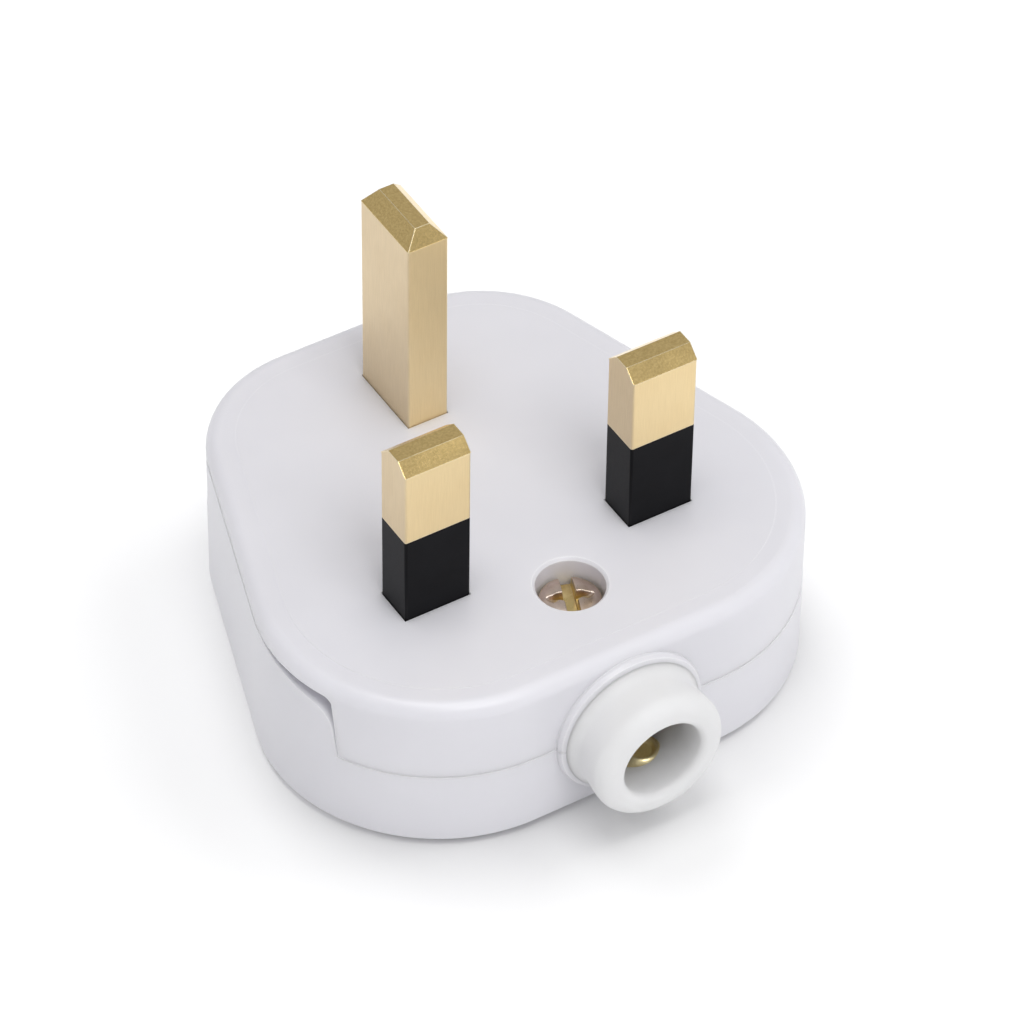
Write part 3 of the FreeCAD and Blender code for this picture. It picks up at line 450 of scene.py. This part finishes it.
def make_housing_white():
    """Cool white plastic with a highlight painted along its edges."""
    material, tree, shader = new_material(
        "housing_white", colour=(0.78, 0.775, 0.81), roughness=0.34, IOR=1.5,
        Subsurface_Weight=0.5, Subsurface_Scale=1.2 * MM, Subsurface_Radius=EVEN_SPREAD)
    skin = place_group(tree, moulded_skin, Mottle_per_mm=0.12, Grain_per_mm=9.0)
    edges = place_group(tree, soft_edges, Radius_mm=0.25)
    mottle = skin.outputs["Mottle"]
    grain = skin.outputs["Grain"]
    tone = tone_between(tree, mottle, dark=(0.77, 0.765, 0.805), light=(0.79, 0.785, 0.825))
    # The edges are mixed towards the painted highlight.
    housing_tone_with_painted_highlight = mix_tones(tree, edges.outputs["Edge"], tone, PAINTED_HOUSING_HIGHLIGHT)
    tree.links.new(housing_tone_with_painted_highlight, shader.inputs["Base Color"])
    tree.links.new(value_between(tree, mottle, low=0.31, high=0.37), shader.inputs["Roughness"])
    add_relief(tree, shader, grain, depth_mm=0.004, strength=0.5, eased=edges.outputs["Upper"])
    return material


housing_white = make_housing_white()
print("finish:", housing_white.name)

# %% [markdown]
# ## The soft white of the sleeve
# The cord sleeve is a softer, duller plastic. A higher roughness and a fine grain take the gloss away, and
# a little light under the surface keeps its shadows from going hard. Its edges are round already, so it
# needs no softened ones.

# %% Finish: sleeve white


def make_sleeve_white():
    """Neutral white soft plastic."""
    material, tree, shader = new_material(
        "sleeve_white", colour=(0.80, 0.80, 0.805), roughness=0.55, IOR=1.46,
        Subsurface_Weight=0.6, Subsurface_Scale=1.5 * MM, Subsurface_Radius=EVEN_SPREAD)
    skin = place_group(tree, moulded_skin, Mottle_per_mm=0.2, Grain_per_mm=7.0)
    grain = skin.outputs["Grain"]
    tone = tone_between(tree, skin.outputs["Mottle"], dark=(0.785, 0.785, 0.79), light=(0.805, 0.805, 0.81))
    tree.links.new(tone, shader.inputs["Base Color"])
    tree.links.new(value_between(tree, grain, low=0.48, high=0.6), shader.inputs["Roughness"])
    add_relief(tree, shader, grain, depth_mm=0.006, strength=0.5)
    return material


sleeve_white = make_sleeve_white()
print("finish:", sleeve_white.name)

# %% [markdown]
# ## The pins' brass
# A pin's long faces are drawn and lightly polished, so they are a pale satin with fine lines along the pin,
# and the faces turned to the sides get a greyer tone, a shade painted by the way they face. The tip is cut
# afterwards and keeps a deeper, glossier gold with a faint speckle. Which is which shows in the direction
# that the surface faces: the cut faces all look partly upwards. So the parts of the surface's own direction
# are the masks between the tones, and the softened edges add a painted highlight, a bright line along them.

# %% Finish: pin brass
ALONG_PIN = (16.0, 16.0, 0.5)
CUT_STARTS = 0.15
CUT_ENDS = 0.4
CUT_GLOSS = 0.33
EDGE_ROUGH = 0.42
# A highlight painted along the pins' edges, in a pale cream.
PAINTED_PIN_HIGHLIGHT = (1.0, 0.93, 0.72)


def make_pin_brass():
    """Pale drawn faces, sides painted greyer as shade, a deeper gold on the cut tip and painted highlights on
    the edges.
    """
    material, tree, shader = new_material("pin_brass", colour=(0.9, 0.72, 0.42), roughness=0.42, Metallic=1.0)
    grain = place_group(tree, drawn_grain, Lines_per_mm=ALONG_PIN)
    edges = place_group(tree, soft_edges, Radius_mm=0.15)
    skin = place_group(tree, moulded_skin, Mottle_per_mm=1.1, Grain_per_mm=5.0)
    facing = add_node(tree, "ShaderNodeSeparateXYZ")
    surface = add_node(tree, "ShaderNodeNewGeometry")
    tree.links.new(surface.outputs["Normal"], facing.inputs["Vector"])
    # Faces turned along x get a painted shade: the greyer side tone below.
    side_shade_mask = math_node(tree, "MULTIPLY", facing.outputs["X"], facing.outputs["X"])
    cut = value_between(tree, facing.outputs["Z"], low=0.0, high=1.0, start=CUT_STARTS, end=CUT_ENDS)
    streak = grain.outputs["Streak"]
    front_tone = tone_between(tree, streak, dark=(0.85, 0.68, 0.395), light=(0.91, 0.735, 0.44))
    # The greyer tone of the sides is painted shade.
    painted_side_shade = tone_between(tree, streak, dark=(0.70, 0.575, 0.39), light=(0.78, 0.645, 0.445))
    cut_tone = tone_between(tree, skin.outputs["Grain"], dark=(0.76, 0.55, 0.22), light=(0.98, 0.74, 0.33))
    tone = mix_tones(tree, cut, mix_tones(tree, side_shade_mask, front_tone, painted_side_shade), cut_tone)
    # The edges are mixed towards the painted highlight.
    pin_tone_with_painted_highlight = mix_tones(tree, edges.outputs["Edge"], tone, PAINTED_PIN_HIGHLIGHT)
    drawn_rough = value_between(tree, grain.outputs["Cloud"], low=0.48, high=0.54)
    face_rough = math_node(tree, "SUBTRACT", drawn_rough, math_node(tree, "MULTIPLY", cut, CUT_GLOSS))
    edge_rough = math_node(tree, "MULTIPLY", edges.outputs["Edge"], EDGE_ROUGH)
    tree.links.new(pin_tone_with_painted_highlight, shader.inputs["Base Color"])
    tree.links.new(math_node(tree, "MAXIMUM", face_rough, edge_rough), shader.inputs["Roughness"])
    add_relief(tree, shader, streak, depth_mm=0.002, strength=0.15, eased=edges.outputs["Normal"])
    return material


pin_brass = make_pin_brass()
print("finish:", pin_brass.name)

# %% [markdown]
# ## The cover screw's plating
# The screw is steel with a warm plating that has dulled to a pinkish beige on top, while its recess is
# still a clear gold. The mask here is depth: how far a point lies below the top of the head.

# %% Finish: plated screw
RECESS_STARTS = screw_high.z - 0.35 * MM
RECESS_ENDS = screw_high.z - 0.75 * MM
# A highlight painted along the screw's edges.
PAINTED_SCREW_HIGHLIGHT = (0.95, 0.86, 0.7)


def make_screw_plated():
    """Dulled plating on top, clear gold in the recess and a highlight painted along the edges between them.
    """
    material, tree, shader = new_material(
        "screw_plated", colour=(0.66, 0.54, 0.46), roughness=0.3, Metallic=1.0)
    skin = place_group(tree, moulded_skin, Mottle_per_mm=0.9, Grain_per_mm=9.0)
    edges = place_group(tree, soft_edges, Radius_mm=0.07)
    place = add_node(tree, "ShaderNodeTexCoord")
    height = add_node(tree, "ShaderNodeSeparateXYZ")
    tree.links.new(place.outputs["Object"], height.inputs["Vector"])
    deep = value_between(tree, height.outputs["Z"], low=0.0, high=1.0, start=RECESS_STARTS, end=RECESS_ENDS)
    mottle = skin.outputs["Mottle"]
    top_tone = tone_between(tree, mottle, dark=(0.58, 0.46, 0.37), light=(0.74, 0.62, 0.55))
    deep_tone = tone_between(tree, mottle, dark=(0.66, 0.5, 0.2), light=(0.86, 0.7, 0.36))
    tone = mix_tones(tree, deep, top_tone, deep_tone)
    # The edges are mixed towards the painted highlight.
    screw_tone_with_painted_highlight = mix_tones(tree, edges.outputs["Edge"], tone, PAINTED_SCREW_HIGHLIGHT)
    roughness = value_between(tree, skin.outputs["Grain"], low=0.27, high=0.31)
    tree.links.new(screw_tone_with_painted_highlight, shader.inputs["Base Color"])
    tree.links.new(roughness, shader.inputs["Roughness"])
    add_relief(tree, shader, mottle, depth_mm=0.015, strength=0.3, eased=edges.outputs["Normal"])
    return material


screw_plated = make_screw_plated()
print("finish:", screw_plated.name)

# %% [markdown]
# ## The metals inside
# The terminals, clips and fuse caps share one recipe: a metal shader, a drawn grain for colour, gloss and
# relief, and a highlight painted along the edges. They differ in their tones, in how rough they are and in
# which way their lines run, so one function makes them all.

# %% Finishes: the metals inside
ALONG_FUSE = (10.0, 0.5, 10.0)
ALL_WAYS = (9.0, 9.0, 9.0)


def make_metal(name, dark, light, roughness, lines, edge_mm, edge_highlight_paint):
    """A worked metal with drawn lines and a highlight painted along its edges."""
    material, tree, shader = new_material(name, light, roughness[0], Metallic=1.0)
    grain = place_group(tree, drawn_grain, Lines_per_mm=lines)
    edges = place_group(tree, soft_edges, Radius_mm=edge_mm)
    streak = grain.outputs["Streak"]
    tone = tone_between(tree, streak, dark, light)
    # The edges are mixed towards the painted highlight.
    tree.links.new(mix_tones(tree, edges.outputs["Edge"], tone, edge_highlight_paint), shader.inputs["Base Color"])
    tree.links.new(value_between(tree, grain.outputs["Cloud"], *roughness), shader.inputs["Roughness"])
    add_relief(tree, shader, streak, depth_mm=0.004, strength=0.4, eased=edges.outputs["Normal"])
    return material


# The last tone given to each metal is a highlight painted along its edges.
terminal_brass = make_metal(
    "terminal_brass", dark=(0.86, 0.73, 0.4), light=(0.95, 0.83, 0.5), roughness=(0.3, 0.4),
    lines=ALL_WAYS, edge_mm=0.1, edge_highlight_paint=(1.0, 0.93, 0.68))
clip_metal = make_metal(
    "clip_metal", dark=(0.68, 0.53, 0.28), light=(0.78, 0.62, 0.36), roughness=(0.28, 0.4),
    lines=ALONG_FUSE, edge_mm=0.08, edge_highlight_paint=(0.9, 0.76, 0.46))
fuse_cap_metal = make_metal(
    "fuse_cap_metal", dark=(0.62, 0.61, 0.58), light=(0.74, 0.73, 0.7), roughness=(0.18, 0.3),
    lines=ALONG_FUSE, edge_mm=0.1, edge_highlight_paint=(0.9, 0.89, 0.86))
print("metals inside:", terminal_brass.name, clip_metal.name, fuse_cap_metal.name)

# %% [markdown]
# ## Insulation, ceramic and fibre
# The remaining finishes are plain materials with a moulded skin: satin black nylon round the pin roots, the
# unglazed ceramic of the fuse, and pressed fibre for the cord grip and the screw's washer. The nylon gets a
# low gloss, because a black that reflects the whole studio turns grey.

# %% Finishes: insulation, ceramic and fibre
USUAL_GLOSS = 0.5
FIBRE_ROUGH = (0.6, 0.8)


def make_plain(name, dark, light, roughness, grain_per_mm, relief_mm, gloss=USUAL_GLOSS):
    """A solid material with a moulded skin."""
    material, tree, shader = new_material(name, light, roughness[0], Specular_IOR_Level=gloss)
    skin = place_group(tree, moulded_skin, Mottle_per_mm=0.4, Grain_per_mm=grain_per_mm)
    edges = place_group(tree, soft_edges, Radius_mm=0.1)
    grain = skin.outputs["Grain"]
    tree.links.new(tone_between(tree, skin.outputs["Mottle"], dark, light), shader.inputs["Base Color"])
    tree.links.new(value_between(tree, grain, *roughness), shader.inputs["Roughness"])
    add_relief(tree, shader, grain, depth_mm=relief_mm, strength=0.6, eased=edges.outputs["Normal"])
    return material


insulation_black = make_plain(
    "insulation_black", dark=(0.003, 0.003, 0.004), light=(0.0045, 0.0045, 0.006), roughness=(0.34, 0.42),
    grain_per_mm=8, relief_mm=0.004, gloss=0.09)
fuse_ceramic = make_plain(
    "fuse_ceramic", dark=(0.74, 0.71, 0.64), light=(0.82, 0.8, 0.74), roughness=(0.6, 0.75),
    grain_per_mm=12, relief_mm=0.01)
grip_fibre = make_plain(
    "grip_fibre", dark=(0.10, 0.075, 0.05), light=(0.14, 0.105, 0.07), roughness=FIBRE_ROUGH,
    grain_per_mm=5, relief_mm=0.02)
washer_fibre = make_plain(
    "washer_fibre", dark=(0.30, 0.05, 0.035), light=(0.40, 0.075, 0.05), roughness=FIBRE_ROUGH,
    grain_per_mm=5, relief_mm=0.02)
print("plain finishes:", insulation_black.name, fuse_ceramic.name, grip_fibre.name, washer_fibre.name)

# %% [markdown]
# ## Dressing the solids
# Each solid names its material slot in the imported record, so one loop can dress them all: the finish with
# the slot's name replaces the plain colour that the solid came with.

# %% Dress the solids
FINISHES = {finish.name: finish for finish in (
    housing_white, sleeve_white, pin_brass, insulation_black, screw_plated, terminal_brass,
    fuse_ceramic, fuse_cap_metal, clip_metal, grip_fibre, washer_fibre)}
for part in frame["record"]["subparts"]:
    solid = nodes[part["node"]]
    solid.data.materials.clear()
    solid.data.materials.append(FINISHES[part["material_slot"]])
print("dressed", len(nodes), "solids in", len(FINISHES), "finishes")

# %% [markdown]
# ## Eased edges on the pins
# The bevelled tips of the pins have narrow rounded corners that flash as bright lines. They are too fine
# for the solids but wide enough to see, so a Weld modifier closes each solid's mesh along its edges and a
# Bevel modifier rounds them. Modifiers leave the solid itself as it is.

# %% Ease the pins' edges
EASE_WIDTH = 0.26 * MM
EASE_ANGLE = math.radians(25)
EASE_STEPS = 2
WELD_REACH = 0.001 * MM


def ease_edges(solid):
    """Rounds a solid's sharp edges by a small width."""
    weld = solid.modifiers.new("weld", "WELD")
    weld.merge_threshold = WELD_REACH
    ease = solid.modifiers.new("ease", "BEVEL")
    ease.width = EASE_WIDTH
    ease.segments = EASE_STEPS
    ease.limit_method = "ANGLE"
    ease.angle_limit = EASE_ANGLE
    ease.harden_normals = True


eased_solids = ("live_pin", "neutral_pin", "earth_pin", "live_pin_sleeve", "neutral_pin_sleeve")
for name in eased_solids:
    ease_edges(nodes[name])
print("eased the edges of", len(eased_solids), "solids")

# %% [markdown]
# ## Turning a profile
# The outlet sleeve and the small screw head in it are round, as if turned on a lathe. A lathe in mesh code
# places the same closed profile at many angles about an axis and joins each copy to the next. Two more
# helpers make an object of a finished mesh and smooth its shading, with true corners kept crisp.

# %% Helpers that turn a profile


def make_object(name, mesh, place):
    """An object from a mesh under construction, moved to its place on the plug."""
    bmesh.ops.recalc_face_normals(mesh, faces=mesh.faces)
    mesh.transform(place)
    made = bpy.data.objects.new(name, bpy.data.meshes.new(name))
    mesh.to_mesh(made.data)
    mesh.free()
    scene.collection.objects.link(made)
    return made


def spin_profile(name, points, turns, place):
    """A mesh object turned from a closed profile of radius and length."""
    mesh = bmesh.new()
    rings = []
    for turn in range(turns):
        angle = 2 * math.pi * turn / turns
        rings.append([mesh.verts.new((r * math.cos(angle), r * math.sin(angle), z)) for r, z in points])
    for ring, following in zip(rings, rings[1:] + rings[:1]):
        for low, high in zip(range(len(points)), [*range(1, len(points)), 0]):
            mesh.faces.new((ring[low], following[low], following[high], ring[high]))
    return make_object(name, mesh, place)


def smooth_by_angle(item, degrees):
    """Smooth shading, with edges sharper than an angle kept crisp."""
    item.data.polygons.foreach_set("use_smooth", [True] * len(item.data.polygons))
    item.data.set_sharp_from_angle(angle=math.radians(degrees))


print("turning helpers ready")

# %% [markdown]
# ## The outlet sleeve's profile
# The sleeve is a soft turned form: it sweeps off the collar's face into a slight neck, widens again and
# rolls over its blunt end into the bore. It could be a stack of cones with bevels, but a smooth formula for
# the neck shows no seams. The profile runs once round the section, outside and in.

# %% Profile of the outlet sleeve
FLANGE_RADIUS = sleeve_high.x
SLEEVE_LENGTH = sleeve_high.y - sleeve_low.y
ROOT_RADIUS = 6.3 * MM
SHOULDER_RADIUS = 6.6 * MM
NECK_RADIUS = 6.0 * MM
NOSE_RADIUS = 6.25 * MM
BORE_RADIUS = 3.8 * MM
FLARE_RADIUS = 6.0 * MM
FLANGE_THICK = 1.0 * MM
SHOULDER_PLACE = 2.01 * MM
NECK_SHARE = 0.36
SWEEP_POWER = 2.2
RISE_POWER = 1.6
NOSE_ROUND = 1.5 * MM
MOUTH_ROUND = 0.7 * MM
BORE_LENGTH = 3.0 * MM
NECK_STEPS = 28
NOSE_STEPS = 14
MOUTH_STEPS = 8


def arc_points(centre, radius, start, end, count):
    """Points on an arc in the plane of radius and length, angles in degrees."""
    angles = [math.radians(start + (end - start) * step / count) for step in range(count + 1)]
    return [(centre[0] + radius * math.cos(a), centre[1] + radius * math.sin(a)) for a in angles]


def neck_radius(share):
    """Radius between the collar's face and the blunt end: a sweep down to the neck, then a slow rise."""
    if share < NECK_SHARE:
        return NECK_RADIUS + (SHOULDER_RADIUS - NECK_RADIUS) * (1 - share / NECK_SHARE) ** SWEEP_POWER
    rise = (share - NECK_SHARE) / (1 - NECK_SHARE)
    return NECK_RADIUS + (NOSE_RADIUS - NECK_RADIUS) * math.sin(math.pi * rise / 2) ** RISE_POWER


def sleeve_profile():
    """Radius and distance from the flange's back, round the whole section."""
    blunt_end = SLEEVE_LENGTH - NOSE_ROUND
    mouth_end = SLEEVE_LENGTH - MOUTH_ROUND
    points = [(FLARE_RADIUS, 0), (FLANGE_RADIUS, 0), (FLANGE_RADIUS, FLANGE_THICK),
              (ROOT_RADIUS, FLANGE_THICK), (ROOT_RADIUS, SHOULDER_PLACE)]
    for step in range(NECK_STEPS):
        share = step / NECK_STEPS
        points.append((neck_radius(share), SHOULDER_PLACE + (blunt_end - SHOULDER_PLACE) * share))
    points += arc_points((NOSE_RADIUS - NOSE_ROUND, blunt_end), NOSE_ROUND, 0, 90, NOSE_STEPS)
    points += arc_points((BORE_RADIUS + MOUTH_ROUND, mouth_end), MOUTH_ROUND, 90, 180, MOUTH_STEPS)
    points.append((BORE_RADIUS, SLEEVE_LENGTH - BORE_LENGTH))
    return points


print("sleeve profile:", len(sleeve_profile()), "points over", round(SLEEVE_LENGTH / MM, 2), "mm")

# %% [markdown]
# ## The outlet sleeve
# The profile is spun about the outlet's axis, which points to the front of the plug. The new piece takes
# the place of the plain sleeve, wears the sleeve's white finish and rides on the same body.

# %% Model the outlet sleeve
SLEEVE_TURNS = 128
SLEEVE_CREASE = 35
FORWARD = Matrix.Rotation(math.radians(90), 4, "X")

outlet_place = Matrix.Translation(Vector((0, sleeve_high.y, outlet_height))) @ FORWARD
sleeve = spin_profile("outlet_sleeve_soft", sleeve_profile(), SLEEVE_TURNS, outlet_place)
smooth_by_angle(sleeve, SLEEVE_CREASE)
sleeve.data.materials.append(sleeve_white)
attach(sleeve, "root")
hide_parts("outlet_sleeve")
print("outlet sleeve:", len(sleeve.data.polygons), "faces")

# %% [markdown]
# ## The screw head in the outlet
# Deep in the outlet a small brass head shows past the rim of the bore. It sits in the sleeve's lower wall,
# and its rounded ring with a hollow centre is all that can be seen. It is turned from a short profile, like
# the sleeve, and its lower end stays within the wall that carries it.

# %% Model the screw head in the outlet
OUTLET_HEAD_AT = Vector((1.3, -15.0, -11.9)) * MM
OUTLET_HEAD_PROFILE_MM = (
    (0.02, -0.5), (0.9, -0.46), (1.14, -0.12), (1.24, -0.02), (1.36, 0.0), (1.5, -0.05),
    (1.66, -0.2), (1.84, -0.5), (1.96, -0.9), (2.0, -1.6), (0.02, -1.6))
OUTLET_HEAD_TURNS = 64
OUTLET_HEAD_CREASE = 50

outlet_head_profile = [(radius * MM, height * MM) for radius, height in OUTLET_HEAD_PROFILE_MM]
outlet_screw = spin_profile("outlet_screw_head", outlet_head_profile, OUTLET_HEAD_TURNS,
                            Matrix.Translation(OUTLET_HEAD_AT))
smooth_by_angle(outlet_screw, OUTLET_HEAD_CREASE)
outlet_screw.data.materials.append(terminal_brass)
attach(outlet_screw, "root")
print("outlet screw head:", len(outlet_screw.data.polygons), "faces")

# %% [markdown]
# ## The top of the cover screw
# The screw's head is slightly domed, with a straight slot and a wavy-sided cross recess that grows
# shallower outwards. The recess has sloped walls, so cutting it with blocks would leave it too square. It
# is a height over the head instead: a formula for how far each point sinks by the dome, the slot and the
# cross, whichever is deepest there.

# %% Height over the screw's head
HEAD_RADIUS = screw_high.x
DOME = 0.45 * MM
DOME_POWER = 4
SLOT_TURN = math.radians(21)
SLOT_WIDE = 1.08 * MM
SLOT_DEEP = 1.1 * MM
SLOT_FALL = 0.5
CROSS_REACH = 2.2 * MM
CROSS_WIDE = 1.0 * MM
CROSS_DEEP = 1.1 * MM
TIP_SHARE = 0.35
TAPER_POWER = 0.7
FADE_POWER = 0.6
ARM_WAVE = 0.1 * MM
ARM_RIPPLES = 11
SLOT_WALL = 0.1 * MM
CROSS_WALL = 0.25 * MM


def ease_step(distance, run):
    """1 well inside an edge, 0 outside, and smooth across the run of its wall."""
    share = min(max(0.5 - distance / run, 0.0), 1.0)
    return share * share * (3 - 2 * share)


def head_height(x, y):
    """Height of the head's top under its highest point."""
    across = x * math.cos(SLOT_TURN) - y * math.sin(SLOT_TURN)
    along = x * math.sin(SLOT_TURN) + y * math.cos(SLOT_TURN)
    dome = DOME * (math.hypot(x, y) / HEAD_RADIUS) ** DOME_POWER
    slot = SLOT_DEEP * ease_step(abs(across) - SLOT_WIDE / 2, SLOT_WALL)
    reach = max(1 - abs(across) / CROSS_REACH, 0.0)
    arm_wide = CROSS_WIDE * (TIP_SHARE + (1 - TIP_SHARE) * reach ** TAPER_POWER)
    wave = ARM_WAVE * math.sin(ARM_RIPPLES * abs(across) / CROSS_REACH)
    past_wall = abs(along + wave) - arm_wide / 2 - wave / 2
    arm = CROSS_DEEP * reach ** FADE_POWER * ease_step(past_wall, CROSS_WALL)
    return -max(dome, slot + SLOT_FALL * dome, arm)


print("recess at the middle of the head:", round(-head_height(0, 0) / MM, 2), "mm deep")

# %% [markdown]
# ## The cover screw
# A fine polar grid takes its heights from that formula. The rim, the head's side and the shank are the
# grid's outermost ring carried down, so the screw stays one closed mesh.

# %% Model the cover screw
HEAD_HIGH = 2.4 * MM
SHANK_RADIUS = 1.75 * MM
HEAD_RINGS = 64
HEAD_TURNS = 192
SCREW_CREASE = 40


def model_screw():
    """The screw about its own axis, its highest point at height 0 before it is put in place."""
    mesh = bmesh.new()
    angles = [2 * math.pi * turn / HEAD_TURNS for turn in range(HEAD_TURNS)]
    middle = mesh.verts.new((0, 0, head_height(0, 0)))
    rings = []
    for ring in range(1, HEAD_RINGS + 1):
        radius = HEAD_RADIUS * ring / HEAD_RINGS
        spots = [(radius * math.cos(a), radius * math.sin(a)) for a in angles]
        rings.append([mesh.verts.new((x, y, head_height(x, y))) for x, y in spots])
    shank_end = screw_low.z - screw_high.z
    carried_down = ((HEAD_RADIUS, -HEAD_HIGH), (SHANK_RADIUS, -HEAD_HIGH), (SHANK_RADIUS, shank_end))
    for radius, height in carried_down:
        rings.append([mesh.verts.new((radius * math.cos(a), radius * math.sin(a), height)) for a in angles])
    for turn in range(HEAD_TURNS):
        after = (turn + 1) % HEAD_TURNS
        mesh.faces.new((middle, rings[0][turn], rings[0][after]))
        for inner, outer in zip(rings, rings[1:]):
            mesh.faces.new((inner[turn], outer[turn], outer[after], inner[after]))
    mesh.faces.new(rings[-1])
    screw_place = Matrix.Translation((screw_axis.x, screw_axis.y, screw_high.z))
    return make_object("cover_screw_head_and_shank", mesh, screw_place)


screw = model_screw()
smooth_by_angle(screw, SCREW_CREASE)
screw.data.materials.append(screw_plated)
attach(screw, "root")
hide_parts("cover_screw")
print("cover screw:", len(screw.data.polygons), "faces")
